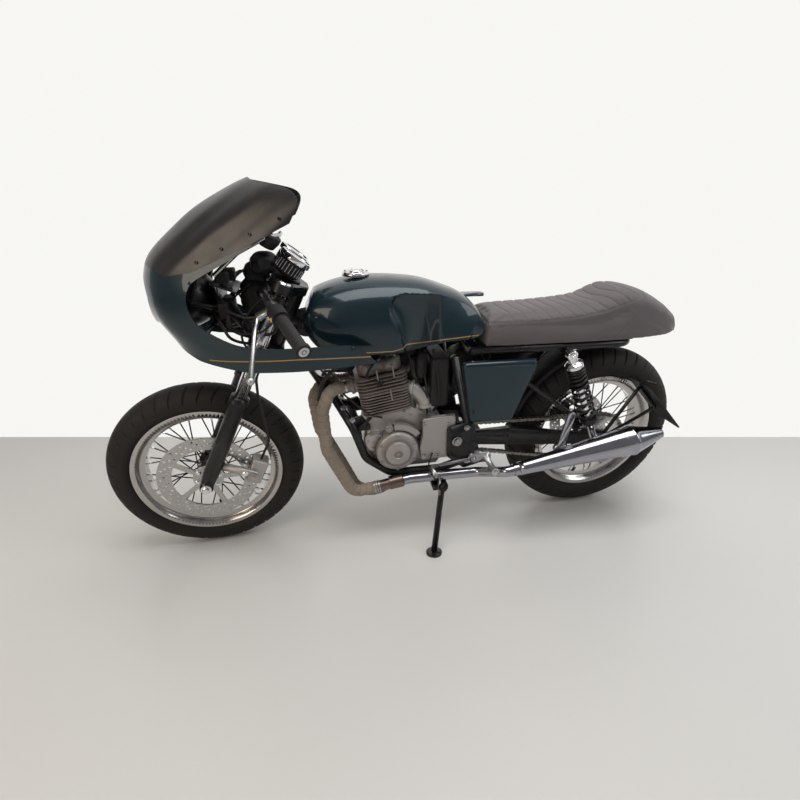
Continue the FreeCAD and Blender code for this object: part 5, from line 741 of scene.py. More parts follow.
def flowing(points):
    """A smooth path through points."""
    points = [Vector(point) for point in points]
    padded = [points[0] * 2 - points[1]] + points + [points[-1] * 2 - points[-2]]
    path = []
    for before, start, end, after in zip(padded, padded[1:], padded[2:], padded[3:]):
        for step in range(FLOW_STEPS):
            share = step / FLOW_STEPS
            path.append(0.5 * (2 * start + (end - before) * share + (2 * before - 5 * start + 4 * end - after)
                               * share ** 2 + (3 * start - before - 3 * end + after) * share ** 3))
    return path + [points[-1]]


def rounded(points, bend, steps=6):
    """A path of straight runs whose corners are rounded."""
    points = [Vector(point) for point in points]
    path = [points[0]]
    for before, corner, after in zip(points, points[1:], points[2:]):
        inward = (before - corner).normalized()
        onward = (after - corner).normalized()
        half = math.acos(max(-1, min(1, inward.dot(onward)))) / 2
        cut = min(bend / math.tan(half), (before - corner).length * 0.48, (after - corner).length * 0.48)
        start = corner + inward * cut
        end = corner + onward * cut
        for step in range(steps + 1):
            share = step / steps
            path.append(start * (1 - share) ** 2 + corner * 2 * share * (1 - share) + end * share ** 2)
    path.append(points[-1])
    even = []
    for start, end in zip(path, path[1:]):
        count = max(1, round((end - start).length / 4))
        even += [start.lerp(end, step / count) for step in range(count)]
    return even + [path[-1]]


# Fairing's cut edges

# The hand cut-out and the screen's rear edge, seen from the side, in millimetres of the upright machine
CUTOUT_EDGE = ((520, 733), (467, 757), (400, 759), (335, 759), (272, 760), (198, 767), (147, 786), (93, 821),
               (74, 858), (74, 892), (90, 922), (126, 945), (164, 964), (205, 987), (250, 1012), (304, 1043),
               (366, 1080))
SCREEN_EDGE = ((292, 1000), (322, 1034), (346, 1072), (359, 1102), (357, 1120), (340, 1133), (304, 1142),
               (235, 1155))
EDGE_REACH = 260


def cut_edge(node, edge, beyond):
    """Trims a skin, on both sides, of what lies between a flowing edge and the points beyond it."""
    corners = [(point.x, point.z) for point in flowing([(x, 0, z) for x, z in edge])] + list(beyond)
    form = Form(node + "_cutter", PLASTIC)
    form.skin([[(x, -EDGE_REACH, z) for x, z in corners], [(x, EDGE_REACH, z) for x, z in corners]])
    cutter = form.done(None)
    bpy.context.scene.collection.objects.link(cutter)
    skin = SKINS[node]
    modifier = skin.modifiers.new("edge", "BOOLEAN")
    modifier.operation = "DIFFERENCE"
    modifier.object = cutter
    modifier.solver = "EXACT"
    whole = evaluated(skin)
    skin.modifiers.clear()
    bpy.data.objects.remove(cutter)
    if len(whole.polygons) > 100:
        work = bmesh.new()
        work.from_mesh(whole)
        work.to_mesh(skin.data)
        work.free()
        soften(skin.data)


cut_edge("fairing", CUTOUT_EDGE, ((520, 1080),))
cut_edge("screen", SCREEN_EDGE, ((235, 1300), (600, 1300), (600, 1000)))


# Repeats

def repeat_tree():
    """Sets a form on every point, turned and sized by the point's own values."""
    tree = bpy.data.node_groups.new("set_on_points", "GeometryNodeTree")
    for name, kind in (("Points", "NodeSocketGeometry"), ("Form", "NodeSocketObject"),
                       ("Material", "NodeSocketMaterial")):
        tree.interface.new_socket(name=name, in_out="INPUT", socket_type=kind)
    tree.interface.new_socket(name="Geometry", in_out="OUTPUT", socket_type="NodeSocketGeometry")
    source, target, form, turn, size, turned, setter, realized, painted = (tree.nodes.new(kind) for kind in (
        "NodeGroupInput", "NodeGroupOutput", "GeometryNodeObjectInfo", "GeometryNodeInputNamedAttribute",
        "GeometryNodeInputNamedAttribute", "FunctionNodeEulerToRotation", "GeometryNodeInstanceOnPoints",
        "GeometryNodeRealizeInstances", "GeometryNodeSetMaterial"))
    turn.data_type = "FLOAT_VECTOR"
    turn.inputs["Name"].default_value = "turn"
    size.data_type = "FLOAT"
    size.inputs["Name"].default_value = "size"
    for start, end in ((source.outputs["Form"], form.inputs["Object"]),
                       (source.outputs["Points"], setter.inputs["Points"]),
                       (form.outputs["Geometry"], setter.inputs["Instance"]),
                       (turn.outputs["Attribute"], turned.inputs["Euler"]),
                       (turned.outputs["Rotation"], setter.inputs["Rotation"]),
                       (size.outputs["Attribute"], setter.inputs["Scale"]),
                       (setter.outputs["Instances"], realized.inputs["Geometry"]),
                       (realized.outputs["Geometry"], painted.inputs["Geometry"]),
                       (source.outputs["Material"], painted.inputs["Material"]),
                       (painted.outputs["Geometry"], target.inputs["Geometry"])):
        tree.links.new(start, end)
    return tree


REPEAT = repeat_tree()
REPEAT_INPUTS = {item.name: item.identifier for item in REPEAT.interface.items_tree if item.in_out == "INPUT"}


def repeated(name, form, material, body, places):
    """One piece out of a form set at many places: (point, axis, across, size) in the row frame."""
    mesh = bpy.data.meshes.new(name + "_places")
    mesh.from_pydata([tuple(place[0]) for place in places], [], [])
    mesh.attributes.new("turn", "FLOAT_VECTOR", "POINT")
    mesh.attributes.new("size", "FLOAT", "POINT")
    turns = mesh.attributes["turn"]
    sizes = mesh.attributes["size"]
    for index, (point, axis, across, size) in enumerate(places):
        axis = Vector(axis).normalized()
        across = Vector(across) if across is not None else axis.orthogonal()
        across = (across - axis * across.dot(axis)).normalized()
        turn = Matrix((across, axis.cross(across), axis)).transposed()
        turns.data[index].vector = turn.to_euler()
        sizes.data[index].value = size
    holder = put_in_scene(name + "_places", mesh)
    modifier = holder.modifiers.new("repeats", "NODES")
    modifier.node_group = REPEAT
    modifier[REPEAT_INPUTS["Form"]] = form
    modifier[REPEAT_INPUTS["Material"]] = material
    whole = evaluated(holder)
    whole.name = name
    bpy.data.objects.remove(holder)
    soften(whole)
    piece = put_in_scene(name, whole)
    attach(piece, body)
    return piece


# Keeps the form of a repeat in the units it is written in
UNSCALED = Matrix.Scale(1000, 4)


def hex_bolt():
    """A bolt head on its washer, one unit in radius, standing along Z."""
    form = Form("hex_bolt", CHROME, UNSCALED)
    form.turned((0, 0, -0.1), (0, 0, 1), ((0, 1.32), (0.28, 1.32), (0.3, 1.28)), 20)
    form.turned((0, 0, 0.2), (0, 0, 1), ((0, 1.0), (0.62, 1.0), (0.78, 0.86)), 6)
    return form.done(None)


def cap_screw():
    """A round screw head with a socket, one unit in radius, standing along Z."""
    form = Form("cap_screw", CHROME, UNSCALED)
    form.turned((0, 0, -0.1), (0, 0, 1), ((0, 1.0), (0.72, 1.0), (0.86, 0.86), (0.86, 0.5), (0.4, 0.46)), 18)
    return form.done(None)


HEX_BOLT = hex_bolt()
CAP_SCREW = cap_screw()


def surface_of(node):
    mesh = NODES[node].data
    matrix = NODES[node].matrix_world
    return BVHTree.FromPolygons([matrix @ vert.co for vert in mesh.vertices],
                                [tuple(face.vertices) for face in mesh.polygons])


SURFACES = {}


def landed(node, start, direction, matrix=BIKE):
    """Where a line from a point of the given frame meets a node, with the normal there."""
    if node not in SURFACES:
        SURFACES[node] = surface_of(node)
    start = matrix @ (Vector(start) / 1000)
    direction = (matrix.to_3x3() @ Vector(direction)).normalized()
    point, normal, _, _ = SURFACES[node].ray_cast(start, direction)
    if point is None:
        return None
    if normal.dot(direction) > 0:
        normal = -normal
    return point, normal


def screws(name, form, material, body, spots, matrix=BIKE):
    """Heads set where lines meet the surfaces: (node, start, direction, head radius) in millimetres."""
    places = []
    for node, start, direction, radius in spots:
        hit = landed(node, start, direction, matrix)
        if hit is None:
            print("no surface for", name, node, start)
        else:
            places.append((hit[0], hit[1], None, radius / 1000))
    return repeated(name, form, material, body, places)


# Tyres

RIM_FOOT = 216.3
RIM_LIP = 228.3
BEAD_INSET = 3.2
TYRE_STEPS = 960
# A tyre's radius, its width and the rim's width, in millimetres
FRONT_TYRE_SIZE = (301, 110, 78)
REAR_TYRE_SIZE = (322, 130, 90)
GROOVE_COUNT = 42
GROOVE_DEPTH = 3.4
GROOVE_HALF = 2.6
# Where the grooves begin and end, as leans over the crown
GROOVE_START = 0.1
GROOVE_END = 0.86


def groove(lean, share):
    """How deep the tread is cut at a place: lean over the crown in turns, share round the wheel."""
    side = 1 if lean > 0 else -1
    reach = abs(lean)
    if reach < GROOVE_START or reach > GROOVE_END:
        return 0
    swept = share * GROOVE_COUNT + (0.25 if side > 0 else 0.75) + 0.62 * (1 - reach) ** 1.6
    near = abs(swept - round(swept)) / GROOVE_COUNT * math.tau * 300
    width = GROOVE_HALF * min(1, (reach - GROOVE_START) / 0.14, (GROOVE_END - reach) / 0.2)
    return GROOVE_DEPTH * max(0, min(1, (width - near) / 1.1 + 0.5)) if width > 0.3 else 0


def tyre_form(name, matrix, radius, width, rim_width, body):
    """A tyre with its curved rain grooves, a moulded ring on the sidewall and beads under the rim's lips."""
    crown = width / 2
    bead = rim_width / 2 - BEAD_INSET
    shoulder = radius - crown
    section = [(bead, RIM_FOOT, None), (bead, RIM_LIP, None)]
    for step in range(1, 9):
        share = step / 9
        across = bead + (crown - bead) * math.sin(share * math.pi / 2) ** 0.8
        ridge = 0.9 if step == 3 else 0
        section.append((across + ridge, RIM_LIP + (shoulder - RIM_LIP) * share ** 1.3, None))
    for step in range(0, 19):
        lean = 1 - step / 18
        turn = lean * math.pi / 2
        section.append((crown * math.sin(turn), shoulder + crown * math.cos(turn), lean))
    left = [(-across, height, None if lean is None else -lean) for across, height, lean in section[:-1]]
    section = section + list(reversed(left))
    form = Form(name, TYRE, matrix)
    rings = []
    for step in range(TYRE_STEPS):
        share = step / TYRE_STEPS
        turn = share * math.tau
        ring = []
        for across, height, lean in section:
            cut = groove(lean, share) if lean is not None else 0
            if cut:
                across -= cut * math.sin(lean * math.pi / 2)
                height -= cut * math.cos(lean * math.pi / 2)
            ring.append(Vector((math.cos(turn) * height, across, math.sin(turn) * height)))
        rings.append(ring)
    form.skin(rings, closed=True)
    return form.done(body, body.replace("wheel", "tyre"))


FRONT_HUB = STEERED @ Matrix.Translation((0, 0, FRONT_TYRE_RADIUS))
REAR_HUB = BIKE @ Matrix.Translation((WHEELBASE, 0, REAR_TYRE_RADIUS))
tyre_form("front_tyre_tread", FRONT_HUB, *FRONT_TYRE_SIZE, "front_wheel")
tyre_form("rear_tyre_tread", REAR_HUB, *REAR_TYRE_SIZE, "rear_wheel")


# Shock absorbers

SHOCK_TOP = Vector((1158, 0, 672))
SHOCK_FOOT = Vector((1302, 0, 358))
SHOCK_ACROSS = 136
# Dampers: (distance from the upper eye, radius)
SHOCK_HEAD = ((8, 14), (24, 15), (28, 25), (32, 29), (42, 29), (44, 22))
SHOCK_SLEEVE = ((42, 21), (120, 21), (124, 16), (126, 12))
SHOCK_ROD = ((120, 12), (262, 12))
SHOCK_CUP = ((250, 27), (262, 29), (266, 27), (268, 14), (300, 13), (334, 12))
SHOCK_NUT = ((0, 10), (3, 10), (3.4, 7.6), (8, 7.2), (10.5, 5), (11, 2))


def shock(side):
    """A damper with its eyes, chrome cap, lower cup and a spring that is close wound above."""
    axis = (SHOCK_FOOT - SHOCK_TOP).normalized()
    across = Vector((0, side, 0))
    top = SHOCK_TOP + across * SHOCK_ACROSS
    foot = SHOCK_FOOT + across * SHOCK_ACROSS
    tag = "right" if side > 0 else "left"
    bright = Form("shock_head_" + tag, CHROME)
    bright.turned(top, axis, SHOCK_HEAD, 40)
    bright.turned(top, axis, SHOCK_ROD, 32)
    bright.turned(foot - axis * 70, axis, ((0, 12), (2, 13.5), (58, 13.5), (60, 11)), 32)
    for eye in (top, foot):
        bright.turned(eye - across * 11, across, ((0, 15), (1.5, 16.6), (20.5, 16.6), (22, 15)), 32)
    for eye in (top, foot):
        bright.turned(eye + across * 11, across, SHOCK_NUT, 24)
    bright.done("chassis", "shocks")
    dark = Form("shock_sleeve_" + tag, ENAMEL)
    dark.turned(top, axis, SHOCK_SLEEVE, 32)
    dark.turned(top, axis, SHOCK_CUP, 32)
    dark.done("chassis")
    other = axis.cross(across)
    points = []
    for step in range(0, 641):
        share = step / 640
        turn = share * 10.5 * math.tau
        down = 48 + 201 * (0.3 * share + 0.7 * share ** 1.8)
        points.append(top + axis * down + (across * math.cos(turn) + other * math.sin(turn)) * 25.5)
    coil = Form("shock_spring_" + tag, ENAMEL)
    coil.tube(points, 4.3, 12)
    coil.done("chassis")


for side in (-1, 1):
    shock(side)


# Drive chain

CHAIN_PITCH = 15.875
LINK_RADIUS = 6
LINK_WAIST = 3.9
FRONT_SPROCKET = Vector((738, -78, 388))
FRONT_SPROCKET_RADIUS = 39.5
REAR_SPROCKET = Vector((1362, -78, 322))
REAR_SPROCKET_RADIUS = 94.5


def chain_path():
    """The chain's line about both sprockets, as even steps of one pitch."""
    gap = REAR_SPROCKET - FRONT_SPROCKET
    slope = math.atan2(gap.z, gap.x)
    spread = math.acos((REAR_SPROCKET_RADIUS - FRONT_SPROCKET_RADIUS) / gap.length)
    line = []
    for centre, radius, start, end in ((REAR_SPROCKET, REAR_SPROCKET_RADIUS, slope + math.pi - spread,
                                        slope - math.pi + spread),
                                       (FRONT_SPROCKET, FRONT_SPROCKET_RADIUS, slope - math.pi + spread,
                                        slope - math.pi - spread)):
        for step in range(61):
            turn = start + (end - start) * step / 60
            line.append(centre + Vector((math.cos(turn), 0, math.sin(turn))) * radius)
    line.append(line[0])
    total = sum((b - a).length for a, b in zip(line, line[1:]))
    count = round(total / CHAIN_PITCH / 2) * 2
    places = []
    wanted = 0
    run = 0
    for start, end in zip(line, line[1:]):
        length = (end - start).length
        while length > 0 and wanted <= run + length and len(places) < count:
            places.append(start.lerp(end, (wanted - run) / length))
            wanted += total / count
        run += length
    return places


def chain_links():
    """Two side plates of a link, and a roller with its pin, one unit to the millimetre."""
    plates = []
    for name, half in (("outer_link", 6.6), ("inner_link", 4.6)):
        form = Form(name, CHAIN, UNSCALED)
        outline = []
        for centre, start in ((CHAIN_PITCH / 2, -90), (-CHAIN_PITCH / 2, 90)):
            for turn in range(0, 181, 30):
                angle = math.radians(start + turn)
                outline.append((centre + LINK_RADIUS * math.cos(angle), LINK_RADIUS * math.sin(angle)))
            outline.append((0, LINK_WAIST if start < 0 else -LINK_WAIST))
        for side in (-1, 1):
            form.slab([(x, y, side * half) for x, y in outline], 1.7)
        plates.append(form.done(None))
    roller = Form("chain_roller", CHAIN, UNSCALED)
    roller.turned((0, 0, -3.7), (0, 0, 1), ((0, 5), (7.4, 5)), 14)
    roller.turned((0, 0, -8), (0, 0, 1), ((0, 2.2), (0.4, 2.6), (15.6, 2.6), (16, 2.2)), 10)
    return plates + [roller.done(None)]


def drive_chain():
    path = chain_path()
    outer, inner, roller = chain_links()
    across = BIKE.to_3x3() @ Vector((0, 1, 0))
    groups = {"outer": [], "inner": [], "roller": []}
    for index, point in enumerate(path):
        after = path[(index + 1) % len(path)]
        middle = on_bike(*((point + after) / 2))
        along = BIKE.to_3x3() @ (after - point)
        groups["inner" if index % 2 else "outer"].append((middle, across, along, 0.001))
        groups["roller"].append((on_bike(*point), across, along, 0.001))
    piece = repeated("chain_outer_plates", outer, CHAIN, "chassis", groups["outer"])
    repeated("chain_inner_plates", inner, CHAIN, "chassis", groups["inner"])
    repeated("chain_rollers", roller, CHAIN, "chassis", groups["roller"])
    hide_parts("chain")


drive_chain()


# Exhaust

HEADER_RADIUS = 18.4
WRAP_PITCH = 21.0
LEFT_HEADER = ((470, -32, 570), (449, -32, 566), (404, -65, 574), (378, -81, 508), (384, -104, 384),
               (460, -118, 219.5), (524, -118, 228), (593, -121, 244))
RIGHT_HEADER = ((470, 32, 570), (449, 32, 566), (392, 51, 562), (352, 8, 524), (366, -35, 427),
                (428, -47, 295), (474, -57, 191), (528, -75, 185), (593, -121, 244))
TAIL_PIPE = ((586, -121, 243), (653, -121, 253.5), (890, -121, 253.5), (965, -196, 295.5),
             (1005, -196, 302.9))
TAIL_PIPE_RADIUS = 17.9
# Shares of a header's line: where its wrap ends, and where the ties are
WRAP_END = 0.93
TIE_SHARES = (0.02, 0.05, 0.9, 0.915, WRAP_END - 0.008)


def evenly(points, step):
    """The same line as points an even step apart."""
    made = [points[0]]
    left = step
    for start, end in zip(points, points[1:]):
        length = (end - start).length
        while length >= left:
            start = start.lerp(end, left / length)
            made.append(start)
            length = (end - start).length
            left = step
        left -= length
    return made


def wrapped(run, turn):
    """The radius of a pipe under overlapping turns of cloth tape."""
    lap = (run / WRAP_PITCH + turn / math.tau) % 1
    edge = 1.3 if lap > 0.88 else 0
    return HEADER_RADIUS + 0.8 + 1.5 * (1 - lap) - edge


def headers():
    """Two pipes in cloth tape with ties, their ports, their bare ends and the pipe to the silencer."""
    cloth = Form("header_wrap", WRAP)
    bare = Form("header_pipe", SCORCHED)
    back = Form("tail_pipe", SILENCER_CHROME)
    ties = Form("header_ties", DISC)
    stub = Form("header_ports", FIN_ALLOY)
    for line in (LEFT_HEADER, RIGHT_HEADER):
        path = rounded(line, 46, 10)
        cloth.tube(evenly(path[2:int(len(path) * WRAP_END)], 2.4), wrapped, 30)
        bare.tube(path[int(len(path) * WRAP_END) - 2:], HEADER_RADIUS, 28)
        for share in TIE_SHARES:
            index = int(len(path) * share) + 1
            ahead = (path[index + 1] - path[index]).normalized()
            ties.turned(path[index] - ahead * 2.2, ahead, ((0, 19), (0.3, 21.4), (4.1, 21.4), (4.4, 19)), 30)
        port = Vector(line[0])
        stub.turned(port + Vector((44, 0, 8)), Vector((-0.985, 0, -0.174)),
                    ((0, 25), (30, 25), (34, 28), (42, 28), (43, 21), (58, 20)), 30)
    back.tube(rounded(TAIL_PIPE, 42, 10), TAIL_PIPE_RADIUS, 28)
    x, y, z = TAIL_PIPE[0]
    bare.turned((x - 4, y, z - 0.8), (0.98, 0, 0.17), ((0, 21), (2, 22.6), (46, 22.6), (50, 18.4)), 32)
    axis = Vector((0.984, 0, 0.179))
    foot = Vector((1006, -196, 303))
    back.turned(foot - axis * 19, axis, ((0, 18), (0.5, 21), (17, 21), (18, 19)), 32)
    back.done("chassis")
    cloth.done("chassis", "exhaust_headers")
    bare.done("chassis")
    ties.done("chassis")
    stub.done("chassis")


headers()


# Cockpit

# Names, radii and points of the cables and hoses about the bars, in the steered fork's millimetres
COCKPIT_LINES = (
    ("clutch_cable", 3.4, ((226, -168, 846), (190, -150, 842), (140, -100, 850), (130, -40, 830),
                           (180, -10, 770), (240, -20, 700))),
    ("choke_cable", 2.8, ((272, -176, 842), (230, -165, 806), (170, -120, 790), (130, -60, 800),
                          (150, -20, 850), (210, -30, 900))),
    ("switch_loom", 4.2, ((268, -176, 832), (262, -150, 800), (230, -110, 780), (190, -60, 800),
                          (150, -40, 860))),
    ("throttle_cable", 3.2, ((268, 176, 838), (220, 170, 880), (170, 120, 905), (160, 50, 880),
                             (200, 20, 800), (260, 10, 720))),
    ("front_brake_line", 4.0, ((236, 176, 890), (190, 150, 905), (150, 80, 880), (160, 10, 820),
                               (200, -40, 760), (214, -76, 700))),
    ("speedometer_cable", 3.2, ((286, -48, 896), (240, -60, 868), (190, -70, 820), (170, -76, 760),
                                (196, -80, 700))),
    ("tachometer_cable", 3.2, ((286, 48, 896), (240, 70, 868), (190, 70, 810), (200, 50, 740))),
    ("lamp_loom", 5.5, ((110, -30, 880), (140, -70, 850), (150, -100, 800), (190, -60, 760),
                        (240, -20, 740))),
    ("lamp_loom_low", 4.0, ((104, -50, 840), (130, -110, 810), (150, -130, 780), (190, -90, 750),
                            (240, -30, 735))),
    ("ignition_loom", 5.0, ((240, 30, 900), (200, 0, 880), (150, 20, 860), (140, 60, 820),
                            (190, 40, 770))),
    ("bar_loom", 4.6, ((300, -120, 860), (290, -70, 880), (262, -30, 900), (230, 10, 880),
                       (190, 30, 840))),
)
# Names, radii and points of the hoses and leads about the engine, in the upright machine's millimetres
ENGINE_LINES = (
    ("breather_hose", 6.5, ((566, -30, 640), (520, -60, 668), (450, -70, 660), (392, -64, 610),
                            (370, -60, 540))),
    ("oil_hose", 5.5, ((530, -66, 470), (505, -84, 452), (486, -70, 430), (480, -60, 392))),
    ("clutch_run", 3.2, ((352, -40, 700), (380, -40, 640), (440, -50, 560), (520, -74, 490),
                         (566, -76, 470))),
    ("fuel_hose", 4.2, ((640, -20, 712), (660, -36, 660), (668, -40, 620), (662, -30, 590))),
    ("fuel_hose_overflow", 3.4, ((690, -20, 712), (700, -50, 640), (712, -70, 560), (716, -72, 470))),
    ("starter_lead", 4.5, ((740, -66, 476), (752, -80, 520), (744, -86, 600), (730, -60, 690))),
    ("main_loom", 7, ((380, 26, 712), (480, 34, 706), (640, 36, 706), (760, 40, 706), (840, 30, 712))),
    ("stand_switch_lead", 2.6, ((742, -140, 246), (730, -136, 262), (716, -124, 300), (730, -110, 340))),
    ("plug_lead", 4.0, ((540, -62, 596), (520, -84, 626), (560, -70, 676), (620, -40, 700))),
)


def hose(name, points, radius, body="fork", matrix=STEERED):
    form = Form(name, GRIP_RUBBER, matrix)
    form.tube(flowing(points), radius, 12)
    form.done(body)


GAUGE_FACING = Vector((0.6157, 0, 0.788))
GAUGE_SEAT = 923.5
# Rings of an instrument: (distance from its back, radius)
GAUGE_BEZEL = ((44, 37.5), (45, 42.5), (47, 43.6), (57, 43.6), (60, 42), (60.4, 38.5), (57.4, 37.6),
               (57.4, 30))
GAUGE_RIBS = 24


def instrument(side):
    """A round instrument: a chrome bezel, ribs around its case and a black dial."""
    tag = "right" if side > 0 else "left"
    seat = Vector((303.6, side * 48, GAUGE_SEAT))
    bezel = Form("bezel_" + tag, CHROME, STEERED)
    bezel.turned(seat, GAUGE_FACING, GAUGE_BEZEL, 48)
    aside = Vector((0, 1, 0))
    other = GAUGE_FACING.cross(aside)
    for index in range(GAUGE_RIBS):
        turn = math.tau * index / GAUGE_RIBS
        spoke = aside * math.cos(turn) + other * math.sin(turn)
        bezel.turned(seat + GAUGE_FACING * 12 + spoke * 37.4, GAUGE_FACING, ((0, 1.4), (26, 1.4)), 6)
    bezel.done("fork")
    dial = Form("dial_" + tag, DIAL, STEERED)
    dial.turned(seat, GAUGE_FACING, ((57.5, 37), (58.4, 37)), 48)
    dial.done("fork")


def pouch(form, centre, size, seed):
    """A soft boot or wrapped bundle: a rounded block with folds; sizes are half extents."""
    rings = []
    for row in range(1, 20):
        rise = -math.cos(math.pi * row / 20)
        girth = (1 - abs(rise) ** 3.4) ** 0.5
        ring = []
        for column in range(32):
            turn = math.tau * column / 32
            fold = 1 + 0.05 * math.sin(5 * turn + seed) * math.sin(7 * rise + seed * 2)
            fold += 0.03 * math.sin(9 * turn - seed)
            corner = (abs(math.cos(turn)) ** 3.2 + abs(math.sin(turn)) ** 3.2) ** (-1 / 3.2)
            reach = girth * fold * corner
            ring.append(Vector(centre) + Vector((size[0] * reach * math.cos(turn),
                                                 size[1] * reach * math.sin(turn), size[2] * rise)))
        rings.append(ring)
    form.skin(rings)


def cockpit_cables():
    """The instruments, and the cables and hoses between the bars and the machine."""
    for side in (-1, 1):
        instrument(side)
    for name, radius, points in COCKPIT_LINES:
        hose(name, points, radius)


LAMP_BOWL = ((0, 76), (8, 82), (30, 82), (56, 70), (76, 48), (86, 20), (88, 4))
RUBBER_CUP = ((0, 17), (3, 22), (22, 29), (34, 30), (38, 27), (38, 22), (30, 20))
# Relays: middle of the foot, then width along, width across and height
RELAYS = ((142, -46, 905, 34, 28, 26), (148, 2, 902, 40, 30, 30), (146, 46, 904, 30, 26, 24),
          (142, -88, 818, 26, 30, 40), (146, -20, 818, 30, 60, 44))
RELAY_RIM = ((-0.8, -1), (0.8, -1), (1, -0.8), (1, 0.8), (0.8, 1), (-0.8, 1), (-1, 0.8), (-1, -0.8))
# Soft boots: (middle, half extents)
BAR_BOOTS = (((216, 4, 856), (40, 34, 56)), ((250, -4, 948), (34, 58, 30)), ((224, 20, 916), (34, 40, 34)))
LOOM_BOOTS = (((232, 0, 800), (30, 28, 32)), ((126, 12, 800), (38, 40, 26)))
SCREEN_STAY = ((132, -96, 930), (196, -84, 984), (262, -60, 1016), (300, -20, 1020), (300, 40, 1020))


def cockpit_fittings():
    """The lamp's bowl, its bracket, relays, soft boots, the screen's stay and a rubber cup."""
    bowl = Form("lamp_bowl", ENAMEL)
    bowl.turned((24, 0, 862), (1, 0, 0), LAMP_BOWL, 48)
    bowl.done("chassis")
    bracket = Form("fairing_bracket", ENAMEL)
    for side in (-1, 1):
        arm = [(60, side * 86, 862), (112, side * 72, 844), (156, side * 22, 800), (196, side * 14, 730)]
        bracket.tube(rounded(arm, 40), 6.5, 12)
        strut = [(64, side * 86, 872), (92, side * 108, 930), (150, side * 102, 984)]
        bracket.tube(rounded(strut, 30), 5, 12)
    bracket.tube(rounded([(150, -102, 984), (176, 0, 1000), (150, 102, 984)], 60), 5, 12)
    bracket.slab([(112, -70, 905), (112, 70, 905), (176, 70, 880), (176, -70, 880)], 4)
    bracket.slab([(122, -62, 780), (122, 62, 780), (128, 62, 900), (128, -62, 900)], 4)
    bracket.done("chassis")
    boxes = Form("relays", PLASTIC)
    for x, y, z, wide, deep, high in RELAYS:
        rim = [(along * wide / 2, across * deep / 2) for along, across in RELAY_RIM]
        boxes.skin([[(x + a * scale, y + b * scale, z + rise) for a, b in rim]
                    for scale, rise in ((0.92, 0), (1, 2), (1, high - 3), (0.9, high))])
    boxes.done("chassis")
    turning = Form("bar_boots", PLASTIC)
    for index, (centre, size) in enumerate(BAR_BOOTS):
        pouch(turning, centre, size, index * 1.7)
    turning.done("fork")
    soft = Form("loom_boots", PLASTIC)
    for index, (centre, size) in enumerate(LOOM_BOOTS):
        pouch(soft, centre, size, index * 1.7 + 1)
    soft.done("chassis")
    stay = Form("screen_stay", RIM_ALLOY)
    stay.tube(rounded(SCREEN_STAY, 30), 6, 14)
    stay.done("chassis")
    cup = Form("rubber_cup", PLASTIC)
    cup.turned((262, -34, 992), (0.5, 0, 0.86), RUBBER_CUP, 36)
    cup.done("fork")


def switch_details():
    """The yellow signal button and two round switches beside it."""
    button = Form("signal_button", SIGNAL_YELLOW, STEERED)
    face = Vector((276, -200, 846))
    out = Vector((-0.62, -0.42, 0.1)).normalized()
    aside = Vector((0.35, -0.3, -0.88)).normalized()
    other = out.cross(aside)
    outline = [face + aside * 8, face - aside * 6 + other * 7.5, face - aside * 6 - other * 7.5]
    button.skin([[point + out * rise + (face - point) * pull for point in outline]
                 for rise, pull in ((-9, 0), (19, 0), (21, 0.22))])
    button.done("fork")
    rocker = Form("switch_rocker", PLASTIC, STEERED)
    top = Vector((282, -188, 868))
    rocker.turned(top, (0.2, 0, 1), ((-8, 6), (6, 6), (8, 4.6)), 18)
    rocker.turned(top + Vector((4, -14, -4)), (0.2, -0.1, 1), ((-8, 5), (5, 5), (6.5, 3.8)), 18)
    rocker.done("fork")


BAR_FACE = ((-2, 13), (0.9, 13.4), (1.6, 12.4), (1.6, 6.4), (0.6, 6), (0.6, 4.6), (2.4, 4.2), (2.8, 3))


def bar_ends():
    """A rubber ring with a metal face and its screw at the end of each grip."""
    for side in (-1, 1):
        tag = "right" if side > 0 else "left"
        out = Vector((78, side * 226, -70)).normalized()
        hit = landed("clip_ons", Vector((323.6, side * 326, 812.1)) + out * 90, -out, STEERED)
        end = STEERED.inverted() @ hit[0] * 1000
        rubber = Form("bar_ring_" + tag, GRIP_RUBBER, STEERED)
        rubber.turned(end, out, ((-12, 18), (-10, 19.4), (0.2, 19.4), (1.2, 18), (1.2, 13)), 36)
        rubber.done("fork")
        face = Form("bar_face_" + tag, LEVER_ALLOY, STEERED)
        face.turned(end, out, BAR_FACE, 30)
        face.done("fork")


cockpit_cables()
cockpit_fittings()
switch_details()
bar_ends()


# Lines along the frame and the engine

def engine_lines():
    """Hoses, leads and looms about the engine, and the plug's cap."""
    for name, radius, points in ENGINE_LINES:
        hose(name, points, radius, body="chassis", matrix=BIKE)
    plug = Form("spark_plug_cap", PLASTIC)
    plug.turned((566, -66, 590), (-0.5, -0.8, 0.2), ((-12, 9), (10, 9), (14, 7), (26, 6)), 20)
    plug.done("chassis")


# Dark lumps along the frame, part dark clutter and part painted shade filling gaps where only shade shows:
# (middle, half extents)
FRAME_SHADE_AND_CLUTTER = (
    ((392, 0, 770), (34, 34, 40)), ((430, 0, 664), (44, 34, 34)), ((520, 4, 668), (62, 40, 26)),
    ((676, 20, 672), (52, 34, 30)), ((700, -34, 630), (20, 22, 52)), ((690, 30, 560), (40, 30, 44)),
    ((842, 0, 592), (46, 56, 88)), ((648, 10, 630), (30, 24, 36)), ((450, 10, 630), (40, 28, 26)),
    ((356, 0, 774), (40, 26, 44)),
)
TRAY_RIM = ((-1, -0.86), (-0.9, -1), (0.9, -1), (1, -0.86), (1, 0.86), (0.9, 1), (-0.9, 1), (-1, 0.86))
# The battery tray and the bands about it: foot, top and how far it stands out
TRAY_BANDS = ((566, 690, 0), (584, 588, 3), (610, 614, 3), (636, 640, 3), (662, 666, 3), (686, 692, 5))
